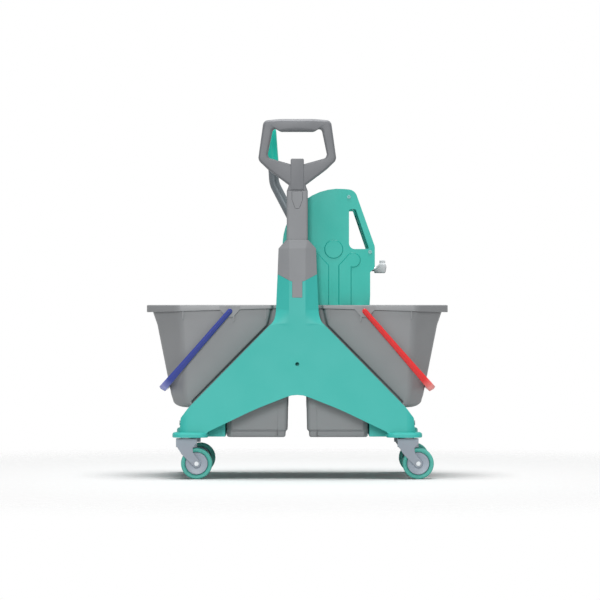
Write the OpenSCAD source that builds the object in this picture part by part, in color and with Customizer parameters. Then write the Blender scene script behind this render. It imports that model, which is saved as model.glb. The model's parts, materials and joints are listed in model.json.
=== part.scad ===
// Double mop bucket trolley: an A shaped chassis on four castors carries two lift-out buckets
// with swing bails, and a lever press for wringing mops hangs in the right bucket.
// X runs along the trolley, -Y is its front, +Z is up, and the origin is on the floor at its centre.

/* [Castors] */
// Half the distance between the left and right swivel axes
caster_x = 284; // [270:1:300]
// Half the distance between the front and rear swivel axes
caster_y = 162; // [158:1:170]
// Height of the underside of the feet
deck_z = 107; // [104:1:115]
// Radius of a wheel with its tyre
wheel_r = 40; // [34:1:42]
// Width of a wheel
wheel_w = 26; // [20:1:30]
// Distance from the swivel axis to the axle
trail = 26; // [18:1:30]
// Radius of the hub disc inside the tyre
hub_r = 29; // [24:1:31]
// Radius of the fork's round head
head_r = 27; // [24:1:30]
// Thickness of a fork leg
leg_t = 4.5; // [3:0.5:7]
// Radius of the swivel stem
stem_r = 6; // [5:0.5:7]
// Radius of the axle
axle_r = 4; // [3:0.5:5]

/* [Chassis] */
// Distance of the frame's front face from the trolley's middle
frame_front = 188; // [184:1:194]
// Distance of the plate's open back from the trolley's middle
plate_back = 154; // [152:1:160]
// Thickness of the moulded skin
skin = 4; // [3:0.5:5]
// Height of the arch between the legs
arch_z = 212; // [200:1:225]
// Half width of the column below the collar
column_w = 50.5; // [48:0.5:54]
// Distance of the column's back from the trolley's middle
column_back = 136; // [135:0.5:140]
// Half width of the flat band on the column's front
facet_w = 21; // [16:1:26]
// Depth that the column's side facets fall back
facet_d = 14; // [8:1:20]
// Half width of a foot across the trolley
foot_w = 38; // [34:1:40]
// Thickness of a foot's flange
foot_t = 13; // [10:1:16]
// Height of the cross beams' top, which carries the buckets
beam_top = 181.7; // [176:0.1:181.8]
// Wall of the cross beams
beam_wall = 4; // [3:0.5:6]
// Half thickness of the centre web's rails
web_w = 9; // [6:0.5:11]
// Radius of the accessory bore in the front plate
accessory_r = 5; // [3:0.5:6]
// Height of the accessory bore
accessory_z = 295; // [285:1:310]

/* [Handle] */
// Height of the top of the push handle
handle_top = 923; // [905:1:950]
// Half width of the push handle at its elbows
handle_w = 101.5; // [95:0.5:110]
// Thickness of the push handle from front to back
handle_d = 34; // [28:1:38]
// Width of the handle post
post_w = 54; // [48:1:56]
// Depth of the handle post from front to back
post_d = 36; // [30:1:38]
// Height of the push handle above the post that it plugs into
handle_h = 184; // [178:1:193]
// Height of the side edge between column and collar
collar_z = 525; // [518:1:535]
// Half width of the collar's tongue
tongue_w = 13; // [10:1:18]
// Travel of the lock button
button_travel = 3; // [1:0.5:4]

/* [Buckets] */
// Height of the rims
rim_z = 446; // [440:1:450]
// Distance of the rims' outer ends from the trolley's middle
rim_end = 391; // [382:1:400]
// Half depth of the rims
rim_y = 150; // [147:0.5:151]
// Wall of the buckets
bucket_wall = 3.5; // [2.5:0.5:4]
// Height of the underside of the deep well
well_z = 105.5; // [100:0.5:110]
// Distance of the deep well's outer wall from the trolley's middle
well_x = 184.5; // [178:0.5:185]
// Height of the underside of the shallow part
shelf_z = 182; // [182:0.5:190]

/* [Bails] */
// Gap between a hanging bail's crossbar and the bucket's end wall
bail_gap = 1.2; // [0.8:0.1:5]
// Height of the bail pivots
bail_z = 430; // [427:0.5:432]
// Length from the pivot to the end of the bail
bail_len = 267; // [255:1:275]
// Angle that the bails hang below level
bail_hang = 49; // [44:1:52]
// Thickness of the bail arms
bail_t = 7; // [5:0.5:9]
// Radius of the bail pins
pin_r = 4; // [3:0.5:5]
// Width of the bail's crossbar
crossbar_w = 19; // [15:0.5:21]
// Depth of the crossbar along the arms
crossbar_d = 16; // [12:0.5:20]

/* [Press] */
// Place of the lever's pivot along the trolley
pivot_x = 94; // [92:0.5:96]
// Height of the lever's pivot
pivot_z = 590; // [588:0.5:592]
// Distance of the cheeks' outer faces from the trolley's middle
cheek_y = 116.5; // [115:0.5:118]
// Distance of the liners' inner faces from the trolley's middle
liner_y = 84; // [82:0.5:85]
// Thickness of the liners
liner_t = 4; // [3:0.5:5]
// Thickness of the cheek mouldings' wall
cheek_wall = 3.5; // [2.5:0.5:4]
// Radius of the stub shafts
shaft_r = 8; // [6:0.5:9]
// Tooth module of the sectors and racks
tooth_m = 3; // [3:1:3]
// Number of teeth on a whole sector wheel
teeth = 40; // [38:2:42]
// Width of sectors and racks
gear_w = 10; // [8:1:11]
// Thickness of the jaws
jaw_t = 6; // [4:0.5:8]
// Radius of the lever's tube
tube_r = 13; // [11:0.5:13.5]
// Radius of the lever's grip at its foot
grip_r = 15; // [14.5:0.5:16]
// Height of the top of the lever's grip
grip_top = 912; // [890:1:916]
// Radius of the adjuster's spindle
spindle_r = 6; // [4:0.5:7]
// Height of the adjuster's spindle
spindle_z = 540; // [537:0.5:543]

/* [Fits] */
// Clearance on the radius of a running fit
fit = 0.06; // [0.02:0.01:0.1]
// Gap between seated pieces
seat = 0.3; // [0.2:0.05:0.4]

/* [Hidden] */

TEAL = [0.30, 0.72, 0.69];
GREY = [0.56, 0.57, 0.58];
PALE = [0.66, 0.68, 0.71];
STEEL = [0.75, 0.76, 0.78];
BLUE = [0.24, 0.30, 0.56];
RED = [0.85, 0.20, 0.24];
$fn = 48;

// Outlines: a corner is [x, y, radius], listed counter-clockwise
function unit(v) = v / norm(v);
function flat(p) = [p.x, p.y];
function turn(u, v) = atan2(u.x * v.y - u.y * v.x, u * v);
function arc(c, r, a0, a1, n) =
    [for (i = [0:n]) let (a = a0 + (a1 - a0) * i / n) [c.x + r * cos(a), c.y + r * sin(a), 0]];
function corner(a, b, c, n) =
    let (u = unit(flat(a) - flat(b)), v = unit(flat(c) - flat(b)),
         half = acos(max(-1, min(1, u * v))) / 2)
    b.z <= 0 || half > 89.9 ? [flat(b)] :
    let (centre = flat(b) + unit(u + v) * b.z / sin(half),
         s = flat(b) + u * b.z / tan(half) - centre,
         e = flat(b) + v * b.z / tan(half) - centre,
         a0 = atan2(s.y, s.x), da = turn(s, e),
         steps = n > 0 ? n : max(1, ceil(abs(da) / 12)))
    [for (i = [0:steps]) centre + b.z * [cos(a0 + da * i / steps), sin(a0 + da * i / steps)]];
function rounded(pts, n = 0) =
    let (k = len(pts))
    [for (i = [0:k - 1]) each corner(pts[(i + k - 1) % k], pts[i], pts[(i + 1) % k], n)];
function inset(pts, d) =
    let (k = len(pts))
    [for (i = [0:k - 1])
        let (e1 = unit(flat(pts[i]) - flat(pts[(i + k - 1) % k])),
             e2 = unit(flat(pts[(i + 1) % k]) - flat(pts[i])),
             n1 = [-e1.y, e1.x], n2 = [-e2.y, e2.x], m = (n1 + n2) / (1 + n1 * n2),
             bend = e1.x * e2.y - e1.y * e2.x > 0 ? 1 : -1,
             r = pts[i].z <= 0 ? 0 : max(0.2, pts[i].z - bend * d))
        [pts[i].x + d * m.x, pts[i].y + d * m.y, r]];
function both_halves(right) =
    concat(right, [for (i = [len(right) - 1:-1:0]) [-right[i].x, right[i].y, right[i].z]]);
function at_height(pts, z) = [for (p = pts) [p.x, p.y, z]];

// A solid through rings of equal length, closed at the first and the last ring
module loft(rings) {
    n = len(rings[0]);
    last = (len(rings) - 1) * n;
    sides = [for (k = [0:len(rings) - 2], i = [0:n - 1])
        let (a = k * n + i, b = k * n + (i + 1) % n)
        each [[a, a + n, b + n], [a, b + n, b]]];
    polyhedron([for (r = rings) each r],
        concat([[for (i = [0:n - 1]) i]], sides, [[for (i = [n - 1:-1:0]) last + i]]));
}

// A hollow solid through rings that lead back to the first one
module closed_loft(rings) {
    n = len(rings[0]);
    total = n * len(rings);
    polyhedron([for (r = rings) each r], [for (k = [0:len(rings) - 1], i = [0:n - 1])
        let (a = k * n + i, b = k * n + (i + 1) % n)
        each [[a, (a + n) % total, (b + n) % total], [a, (b + n) % total, b]]]);
}

// A ring of points round a path: radius r, square to the direction d in the XZ plane
function tube_ring(p, d, r, sides) =
    [for (i = [0:sides - 1]) let (a = 360 * i / sides)
        [p.x + r * cos(a) * d.y, r * sin(a), p.y - r * cos(a) * d.x]];

// An outline in X and Z, drawn out along Y from y0 to y1
module slab(y0, y1) {
    translate([0, y1, 0]) rotate([90, 0, 0]) linear_extrude(y1 - y0) children();
}

// An outline in X and Z with softened edges along both faces
module soft_slab(pts, y0, y1, soft) {
    steps = [[0, 1], [0.3, 0.3], [1, 0]];
    rings = concat([for (s = steps) at_height(rounded(inset(pts, soft * s[1]), 4), soft * s[0])],
        [for (i = [2:-1:0]) at_height(rounded(inset(pts, soft * steps[i][1]), 4),
            y1 - y0 - soft * steps[i][0])]);
    translate([0, y1, 0]) rotate([90, 0, 0]) loft(rings);
}

// A cylinder along Y, and one along X
module rod_y(x, z, y0, y1, r) {
    translate([x, y1, z]) rotate([90, 0, 0]) cylinder(h = y1 - y0, r = r);
}
module rod_x(y, z, x0, x1, r) {
    translate([x0, y, z]) rotate([0, 90, 0]) cylinder(h = x1 - x0, r = r);
}
module box(lo, hi) { translate(lo) cube(hi - lo); }
module both_sides() {
    children();
    mirror([1, 0, 0]) children();
}
module both_ends() {
    children();
    mirror([0, 1, 0]) children();
}

// Chassis sizes that follow from the castors and the column
foot_out = caster_x + 36;
foot_in = caster_x - 56;
leg_out = caster_x + 21;
shoulder = [70, 395];
bush_r = stem_r + 3;
bush_top = deck_z + 52;
column_foot = 275;
post_foot = 306;
post_top = handle_top - handle_h;
post_y = -162;
block_in = caster_x - 54;
block_out = caster_x + 16;
block_back = 126;
beam_out = caster_x - 14;
tongue_x0 = block_in + 10;
tongue_x1 = tongue_x0 + 26;
tongue_z0 = deck_z + 20;
tongue_z1 = tongue_z0 + 32;
tongue_len = 21;
screw_y = block_back + 10;
screw_z = (tongue_z0 + tongue_z1) / 2;
screw_r = 3;

// The A plate's right half, from the arch round the foot to the shoulder of the column
plate = both_halves([
    [15, arch_z + 4, 70], [110, arch_z - 33.5, 400], [foot_in, deck_z + 15, 10], [foot_in + 8, deck_z + 6, 0],
    [leg_out + 3, deck_z + 6, 0], [leg_out - 4, deck_z + 22, 12], [leg_out - 6.5, deck_z + 50, 6],
    [leg_out - 26, deck_z + 76, 40], [shoulder.x, shoulder.y, 0]]);
leg_round = 28;

// Half width of the column and fall of its facets at a height; its back stays inside the bucket notches
back_w = 54;
function column_half(z) = lookup(z, [[shoulder.y, shoulder.x], [400, 64.5], [408, 59.5], [418, 56.5],
    [430, 54.8], [460, 53], [collar_z, column_w], [591, 48]]);
function facet_fall(z) = lookup(z, [[shoulder.y, 0.5], [430, facet_d]]);
function column_ring(z) =
    let (w = column_half(z), f = facet_fall(z))
    [[-w, -frame_front + f, z], [-facet_w, -frame_front, z], [facet_w, -frame_front, z],
     [w, -frame_front + f, z], [min(w, back_w), -column_back, z], [-min(w, back_w), -column_back, z]];
module column(top) {
    loft([for (z = [column_foot, shoulder.y, 400, 408, 418, 430, top]) column_ring(z)]);
}

module foot() {
    pad_back = -block_back - seat;
    pad = [[foot_in, -caster_y - foot_w, 26], [foot_out, -caster_y - foot_w, 26],
           [foot_out, pad_back, 26], [foot_in, pad_back, 26]];
    loft([for (s = [[0, 1.5], [2, 0], [foot_t - 5, 0], [foot_t - 1.5, 1.5], [foot_t, 5]])
        at_height(rounded(inset(pad, s[1]), 5), deck_z + s[0])]);
}

// The block in each foot that takes the swivel bush and the end of a beam
module foot_block() {
    intersection() {
        box([block_in, -frame_front + skin - 1, deck_z + 1], [block_out, -block_back, deck_z + 65]);
        slab(-frame_front, -block_back + 1) polygon(rounded(plate));
    }
}

module foot_cuts() {
    translate([caster_x, -caster_y, deck_z - 1]) cylinder(h = bush_top - deck_z + 1, r = bush_r + fit);
    box([tongue_x0 - fit, -block_back - tongue_len - seat, tongue_z0 - fit],
        [tongue_x1 + fit, -block_back + 1, tongue_z1 + fit]);
    rod_x(-screw_y, screw_z, tongue_x1 - 2, block_out + 1, screw_r + fit);
}

// The plate's skin with its ribs, open at the back and rounded off at the outer corners of the legs
module plate_shell() {
    rib_t = 3;
    edge = leg_out + 3;
    intersection() {
        union() {
            difference() {
                slab(-frame_front, -plate_back) polygon(rounded(plate));
                slab(-frame_front + skin, -plate_back + 1) polygon(rounded(inset(plate, skin)));
            }
            intersection() {
                slab(-frame_front + 1, -plate_back - 4) polygon(rounded(plate));
                both_sides() for (x = [105, 160, 215])
                    box([x, -frame_front, deck_z], [x + rib_t, -plate_back, shoulder.y]);
            }
            both_sides() foot_block();
        }
        linear_extrude(shoulder.y + 10) polygon(rounded([[-edge, -frame_front, leg_round],
            [edge, -frame_front, leg_round], [edge, -block_back + 1, 0], [-edge, -block_back + 1, 0]]));
    }
}

// What lies above the V shaped joint between column and collar
module collar_side() {
    polygon(rounded(both_halves([[tongue_w, collar_z - 60, 2], [tongue_w, collar_z - 19, 0],
        [tongue_w + 6, collar_z - 17, 5], [column_w, collar_z, 0], [column_w + 12, collar_z, 0],
        [column_w + 12, collar_z + 100, 0]])));
}
tongue_t = 6;

module front_frame() {
    pocket_x0 = post_w / 2 + 5;
    color(TEAL) difference() {
        union() {
            plate_shell();
            column(collar_z);
            both_sides() foot();
        }
        both_sides() foot_cuts();
        intersection() {
            slab(-frame_front - 1, -column_back + 1) collar_side();
            union() {
                box([-100, -frame_front - 1, collar_z - 19], [100, -column_back + 1, collar_z + 1]);
                box([-100, -frame_front - 1, collar_z - 70], [100, -frame_front + tongue_t, collar_z]);
            }
        }
        translate([0, post_y, post_foot])
            linear_extrude(collar_z) square([post_w + 2 * fit, post_d + 2 * fit], center = true);
        both_sides() box([pocket_x0, -frame_front + facet_d + skin, column_foot - 1],
            [column_w - skin, -column_back - skin, collar_z - 24]);
        rod_y(0, accessory_z, -frame_front - 1, -frame_front + 22, accessory_r);
    }
}

module rear_frame() {
    rear_top = 436;
    color(TEAL) mirror([0, 1, 0]) difference() {
        union() {
            plate_shell();
            column(rear_top);
            both_sides() foot();
        }
        both_sides() foot_cuts();
        box([-column_w + skin, -frame_front + facet_d + skin, column_foot - 1],
            [column_w - skin, -column_back - skin, rear_top - skin]);
    }
}

// A channel beam under each bucket, with a tongue into both feet
module beam() {
    inner = well_x + 1;
    color(TEAL) {
        difference() {
            box([inner, -block_back, deck_z], [beam_out, block_back, beam_top]);
            box([inner + beam_wall, -block_back + beam_wall, deck_z - 1],
                [beam_out - beam_wall, block_back - beam_wall, beam_top - beam_wall]);
        }
        for (y = [-60, 0, 60])
            box([inner, y - 2, deck_z + 12], [beam_out, y + 2, beam_top - 1]);
        both_ends() difference() {
            box([tongue_x0, -block_back - tongue_len, tongue_z0], [tongue_x1, -block_back + 1, tongue_z1]);
            rod_x(-screw_y, screw_z, tongue_x1 - 18, tongue_x1 + 1, screw_r + fit);
        }
    }
}
module left_beam() { mirror([1, 0, 0]) beam(); }
module right_beam() { beam(); }

// The panel between the buckets that ties both columns and carries the inner rims
module centre_web() {
    web_top = lip_bottom(0) - seat;
    web_foot = arch_z + 13;
    rail = 12;
    color(TEAL) {
        box([-3, -column_back, web_foot], [3, column_back, web_top]);
        for (z = [web_foot, web_top - rail])
            box([-web_w, -column_back, z], [web_w, column_back, z + rail]);
        both_ends() box([-web_w, -column_back, web_foot], [web_w, -column_back + rail, web_top]);
        for (y = [-45, 45]) box([-web_w, y - 2, web_foot], [web_w, y + 2, web_top]);
    }
}

module frame_screws() {
    color(STEEL) both_sides() both_ends() {
        rod_x(-screw_y, screw_z, tongue_x1 - 17, block_out + 1, screw_r);
        difference() {
            rod_x(-screw_y, screw_z, block_out, block_out + 3, 2 * screw_r);
            translate([block_out + 1.2, -screw_y, screw_z]) rotate([0, 90, 0])
                cylinder(h = 3, r = screw_r, $fn = 6);
        }
    }
}

module caster_bushes() {
    color(GREY) both_sides() both_ends() translate([caster_x, -caster_y, deck_z]) difference() {
        cylinder(h = bush_top - deck_z - fit, r = bush_r);
        translate([0, 0, -1]) cylinder(h = bush_top, r = stem_r + fit);
    }
}

// The grey socket on top of the column, with its tongue down the column's front
module handle_collar() {
    shoulder_z = 591;
    neck_z = 613;
    w = post_w / 2 + 1;
    neck = [[-w, post_y - post_d / 2 - 1, neck_z], [-facet_w, post_y - post_d / 2 - 2, neck_z],
            [facet_w, post_y - post_d / 2 - 2, neck_z], [w, post_y - post_d / 2 - 1, neck_z],
            [w, -column_back - 4, neck_z], [-w, -column_back - 4, neck_z]];
    color(GREY) difference() {
        intersection() {
            loft([column_ring(collar_z - 65), column_ring(collar_z), column_ring(shoulder_z), neck]);
            slab(-frame_front - 1, -column_back + 1) collar_side();
            union() {
                box([-100, -frame_front - 1, collar_z - 19], [100, -column_back + 1, neck_z + 1]);
                box([-100, -frame_front - 1, collar_z - 70], [100, -frame_front + tongue_t, collar_z]);
            }
        }
        translate([0, post_y, post_foot])
            linear_extrude(neck_z) square([post_w + 2 * fit, post_d + 2 * fit], center = true);
    }
}

button_top = post_top - 2;
button_w = 13.6;
button_tip = 5;
button_outline = [[-button_tip, button_top - 44, 5], [button_tip, button_top - 44, 5],
                  [button_w, button_top - 21, 10], [button_w, button_top, 2],
                  [-button_w, button_top, 2], [-button_w, button_top - 21, 10]];
button_front = post_y - post_d / 2;
button_t = 8;
plug_w = 20;
plug_y = [post_y + 1, post_y + post_d / 2 - 5];

module handle_post() {
    edge = 6;
    section = [[-post_w / 2, -post_d / 2, edge], [post_w / 2, -post_d / 2, edge],
               [post_w / 2, post_d / 2, edge], [-post_w / 2, post_d / 2, edge]];
    color(GREY) difference() {
        translate([0, post_y, post_foot + seat])
            linear_extrude(post_top - post_foot - seat) polygon(rounded(section));
        slab(button_front - 1, button_front + button_t + button_travel + 1.5)
            polygon(rounded(inset(button_outline, -seat)));
        box([-plug_w - fit, plug_y[0] - fit, post_top - 45 - seat],
            [plug_w + fit, plug_y[1] + fit, post_top + 1]);
        translate([0, post_y, post_foot - 1]) linear_extrude(post_top - post_foot - 60)
            square([post_w - 10, post_d - 10], center = true);
    }
}

// The D handle's outline and its opening, from the post's top to the grip bar
neck_w = 21.5;
elbow_z = handle_top - 105;
d_outer = both_halves([[post_w / 2, post_top, 0], [neck_w, post_top + 12, 8],
    [neck_w + 1, post_top + 16, 8], [handle_w - 25.5, elbow_z - 24.5, 40], [handle_w, elbow_z, 16],
    [handle_w - 14, handle_top - 4, 14], [44, handle_top, 200]]);
d_opening = both_halves([[17, elbow_z + 4, 4], [18.5, elbow_z - 10.5, 4], [handle_w - 28.5, elbow_z + 4.5, 8],
    [handle_w - 24.5, elbow_z + 14, 8], [handle_w - 38, handle_top - 26, 9], [54, handle_top - 26, 8],
    [42, handle_top - 33, 14]]);

module push_handle() {
    soft = 9;
    y0 = post_y - handle_d / 2;
    y1 = post_y + handle_d / 2;
    color(GREY) {
        difference() {
            soft_slab(d_outer, y0, y1, soft);
            slab(y0 - 1, y1 + 1) polygon(rounded(d_opening));
        }
        box([-plug_w, plug_y[0], post_top - 45], [plug_w, plug_y[1], post_top + 10]);
        slab(y0 - 1.5, y0 + 2) polygon(rounded(both_halves([[12.5, post_top + 16, 3], [12.5, elbow_z, 4]])));
    }
}

module lock_button() {
    color(GREY) slab(button_front - 0.4, button_front + button_t) polygon(rounded(button_outline));
}

// Bucket walls at a height; the well is the deep part next to the trolley's middle
notch_x = 69;
lip = 3;
chamfer_slant = 1.2;
function wall_in(z) = lookup(z, [[well_z, 25], [210, 23], [rim_z, 14]]);
function wall_out(z) = lookup(z, [[shelf_z, 315], [215, rim_end - 65], [395, rim_end - 28],
    [428, rim_end - 16]]);
function well_y(z) = lookup(z, [[well_z, 124], [shelf_z, 129]]);
function wall_y(z) = lookup(z, [[shelf_z, rim_y - 9], [428, rim_y - 4]]);
function notch_deep(z) = lookup(z, [[shelf_z, 11], [shoulder.y, 15.3], [428, 15]]);
// The recess in the long walls follows the A plate's sloping edge and leaves a slot beside it
slot = 7;
function plate_edge(z) = lookup(z, [[deck_z + 76, leg_out - 26], [shoulder.y, shoulder.x]]);
function recess_x(z) = lookup(z, [[shelf_z, 245], [208, plate_edge(208) + slot],
    [shoulder.y, shoulder.x + slot], [428, notch_x]]);
function chamfer_x(z) = lookup(z, [[shelf_z, 32], [215, 36], [395, 62], [428, 70]]);
function lip_bottom(x) = rim_z - lookup(x, [[notch_x, 8.5], [rim_end, 18]]);
function plan(x0, x1, y, deep, cx, cy, nx) =
    let (rn = min(6, deep * 0.45), half = [[x0, -y + deep, 12], [nx, -y + deep, rn], [nx, -y, rn],
        [x1 - cx, -y, min(28, cx * 0.6)], [x1, -y + cy, min(28, cy * 0.6)]])
    concat(half, [for (i = [4:-1:0]) [half[i].x, -half[i].y, half[i].z]]);
function wall_plan(z) = plan(wall_in(z), wall_out(z), wall_y(z), notch_deep(z), chamfer_x(z),
    chamfer_slant * chamfer_x(z), recess_x(z));
function well_plan(z, foot, thin) = inset(plan(wall_in(z), well_x - (shelf_z - z) * 0.03 + foot, well_y(z),
    1, 14, 12, notch_x), 0.5 + foot + thin);
rim_plan = plan(5, rim_end, rim_y, 15, 80, chamfer_slant * 80, notch_x - 5);
function ring(pts, z) = at_height(rounded(pts, 3), z);
function lip_ring(pts) = [for (p = rounded(pts, 3)) [p.x, p.y, lip_bottom(p.x)]];

module bucket_shell() {
    w = bucket_wall;
    bend = 14;
    floor_z = shelf_z + w;
    function shelf(z, cut, thin) = inset(plan(wall_in(z), wall_out(shelf_z + bend) - cut, wall_y(z),
        notch_deep(z), chamfer_x(z), chamfer_slant * chamfer_x(z), recess_x(z)), thin);
    loft([
        ring(well_plan(well_z, 5, 0), well_z), ring(well_plan(well_z + 15, 5, 0), well_z + 15),
        ring(well_plan(well_z + 20, 0, 0), well_z + 20), ring(well_plan(shelf_z, 0, 0), shelf_z),
        ring(shelf(shelf_z, bend, 0), shelf_z),
        ring(shelf(shelf_z + 0.29 * bend, 0.29 * bend, 0), shelf_z + 0.29 * bend),
        ring(wall_plan(shelf_z + bend), shelf_z + bend), ring(wall_plan(245), 245),
        ring(wall_plan(395), 395), ring(wall_plan(428), 428), ring(wall_plan(rim_z), rim_z - 4.5),
        ring(inset(rim_plan, lip), rim_z - 4.5), lip_ring(inset(rim_plan, lip)), lip_ring(rim_plan),
        ring(rim_plan, rim_z - 1.5), ring(inset(rim_plan, 1.5), rim_z),
        ring(inset(wall_plan(rim_z), w), rim_z), ring(inset(wall_plan(428), w), 428),
        ring(inset(wall_plan(395), w), 395), ring(inset(wall_plan(245), w), 245),
        ring(inset(wall_plan(floor_z + bend), w), floor_z + bend),
        ring(shelf(floor_z + 0.29 * bend, 0.29 * bend, w), floor_z + 0.29 * bend),
        ring(shelf(floor_z, bend, w), floor_z), ring(well_plan(floor_z, 0, w), floor_z),
        ring(well_plan(well_z + 20, 0, w + 1), well_z + 20 + w),
        ring(well_plan(well_z, 5, w), well_z + w)]);
}

// The bails hang with their crossbars just clear of the end walls
bail_reach = bail_len - crossbar_d;
bail_low = bail_z - bail_reach * sin(bail_hang) - crossbar_w / 2 * cos(bail_hang);
bail_x = wall_out(bail_low) + bail_gap - bail_reach * cos(bail_hang) + crossbar_w / 2 * sin(bail_hang);
echo(bail_x = bail_x);

lug_x = [[88, 108], [150, 170]];
lug_z = rim_z - 8;
lug_y = rim_y - 13;

module bucket() {
    tab = [[bail_x - 9, bail_z - 15, 3], [bail_x + 9, bail_z - 15, 3], [bail_x + 27, bail_z + 6, 2],
           [bail_x + 27, rim_z - 3, 0], [bail_x - 27, rim_z - 3, 0], [bail_x - 27, bail_z + 6, 2]];
    difference() {
        union() {
            bucket_shell();
            both_ends() slab(-rim_y, -rim_y + 6) polygon(rounded(tab));
            both_ends() for (x = [notch_x + 13, rim_end - 97])
                box([x - 1.5, -rim_y + 1, rim_z - 36], [x + 1.5, -rim_y + 6, rim_z - 6]);
            both_ends() for (span = lug_x)
                box([span[0], -rim_y + 6, lug_z - 12], [span[1], -lug_y, lug_z]);
        }
        both_ends() rod_y(bail_x, bail_z, -rim_y - 1, -rim_y + 12, pin_r + fit);
    }
}
module left_bucket() { color(GREY) mirror([1, 0, 0]) bucket(); }
module right_bucket() { color(GREY) bucket(); }

// A swing bail, drawn level and then turned down to where it hangs
module bail() {
    arm_in = rim_y + 1;
    arm_out = arm_in + bail_t;
    slim = 6.6;
    half = crossbar_w / 2;
    function section(x, w) = [[x, -arm_in, w], [x, -arm_out + 2, w], [x, -arm_out, 0.3 * w],
        [x, -arm_out + 2.5, -w], [x, -arm_in, -w]];
    translate([bail_x, 0, bail_z]) rotate([0, bail_hang, 0]) {
        both_ends() {
            loft([section(0, slim), section(0.5 * bail_len, slim + 0.8), section(0.75 * bail_len, slim + 1.8),
                section(bail_len - 3, half - 0.5)]);
            rod_y(0, 0, -arm_out + 0.4, -arm_in, slim + 0.6);
            rod_y(0, 0, -arm_in - 1, -rim_y + 8, pin_r);
        }
        slab(-arm_out, arm_out) polygon(rounded([[bail_reach, -half, 5], [bail_len, -half, 2],
            [bail_len, half, 2], [bail_reach, half, 5]]));
    }
}
module left_bail() { color(BLUE) mirror([1, 0, 0]) bail(); }
module right_bail() { color(RED) bail(); }

// Press: the cheeks' outline, with the carrying hole and the raised front panels
crown = [107, 601];
crown_r = 145;
cheek = concat([[34, 258, 14], [176, 258, 14], [188, 470, 30], [188, spindle_z - 9, 2],
    [200, spindle_z + 1, 12], [200, 597, 25], [148.5, 742.5, 24]], arc(crown, crown_r, 84, 186, 12),
    [[-28, 566, 8], [4, 562, 6], [4, 470, 10], [30, 432, 10]]);
carry_hole = [[133.4, 590.5, 15], [181, 590.5, 3], [146.1, 693.5, 4], [133.4, 693.5, 6]];
screw_places = [[133.3, 724.7], [187.5, 583]];
pitch_r = tooth_m * teeth / 2;
gear_y0 = liner_y + liner_t + 4;
gear_y1 = gear_y0 + gear_w;
rack_foot = pivot_z - pitch_r - 14;
link_t = 8;
stroke = pitch_r * 50 * PI / 180;
jaw_x = 46;
link_x = [jaw_x - 12, jaw_x + jaw_t];
panel_h = 2.2;
boss_r = 22;

// One raised strip beside the pivot boss, with its lobe at the top
module panel_strip() {
    translate([pivot_x + 50, 562]) circle(r = 17);
    polygon([[pivot_x + 14.5, 452], [pivot_x + 43.5, 452], [pivot_x + 43.5, 546], [pivot_x + 48, 562],
        [pivot_x + 36, 571], [pivot_x + 14.5, 548]]);
}

module cheek_shell() {
    face = cheek_y - cheek_wall;
    inner = liner_y + liner_t;
    difference() {
        union() {
            difference() {
                slab(-cheek_y, -inner) polygon(rounded(cheek));
                difference() {
                    slab(-face, -inner + 1) polygon(rounded(inset(cheek, cheek_wall)));
                    slab(-face - 1, -inner + 2) polygon(rounded(inset(carry_hole, -cheek_wall)));
                    rod_y(pivot_x, pivot_z, -face - 1, -gear_y1 - 3.5, shaft_r + 7);
                    for (p = screw_places) rod_y(p.x, p.y, -face - 1, -inner, 6);
                    box([link_x[0] - 20, -face - 1, rack_foot - link_t - 8],
                        [link_x[1] + stroke + 40, -inner, rack_foot - link_t - seat]);
                }
            }
            slab(-cheek_y - panel_h, -cheek_y + 1) panel_strip();
            translate([2 * pivot_x, 0, 0]) mirror([1, 0, 0])
                slab(-cheek_y - panel_h, -cheek_y + 1) panel_strip();
            rod_y(pivot_x, pivot_z, -cheek_y - panel_h, -cheek_y + 1, boss_r);
            for (span = lug_x)
                box([span[0], -lug_y - 5, lug_z + seat], [span[1], -cheek_y + 1, lug_z + 6]);
        }
        slab(-cheek_y - 3, -inner + 1) polygon(rounded(carry_hole));
        for (p = screw_places) rod_y(p.x, p.y, -cheek_y - 1, -inner + 1, 2.5 + fit);
        rod_y(pivot_x, pivot_z, -face + 0.5, -inner, shaft_r + 3 + fit);
    }
}
module front_cheek() { color(TEAL) cheek_shell(); }
module rear_cheek() { color(TEAL) mirror([0, 1, 0]) cheek_shell(); }

module liner() {
    difference() {
        slab(-liner_y - liner_t, -liner_y) polygon(rounded(cheek));
        slab(-liner_y - liner_t - 1, -liner_y + 1) polygon(rounded(carry_hole));
        rod_y(pivot_x, pivot_z, -liner_y - liner_t - 1, -liner_y + 1, shaft_r + 3 + fit);
        box([link_x[0] - 2, -liner_y - liner_t - 1, rack_foot - link_t - 1],
            [link_x[1] + stroke + 2, -liner_y + 1, rack_foot + 1]);
        for (p = screw_places) rod_y(p.x, p.y, -liner_y - liner_t - 1, -liner_y + 1, 2.5 + fit);
    }
}
module front_liner() { color(TEAL) liner(); }
module rear_liner() { color(TEAL) mirror([0, 1, 0]) liner(); }

// The drain trough between the liners, with the adjuster's bearing in its right wall
module press_trough() {
    wall = 3.5;
    profile = [[30, 262], [172, 262], [172, 452], [184, 468], [184, 562], [184 - wall, 562],
               [184 - wall, 469], [172 - wall, 453.5], [172 - wall, 262 + wall], [30 + wall, 262 + wall],
               [30 + wall, 500], [30, 500]];
    color(TEAL) difference() {
        union() {
            slab(-liner_y, liner_y) polygon(profile);
            rod_x(0, spindle_z, 172, 184, spindle_r + 6);
        }
        for (x = [44:16:156], y = [-66, -2])
            translate([x, y, 260]) linear_extrude(10) polygon(rounded(
                [[0, 0, 2.5], [6, 0, 2.5], [6, 52, 2.5], [0, 52, 2.5]]));
        rod_x(0, spindle_z, 170, 186, spindle_r + fit);
    }
}

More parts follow.
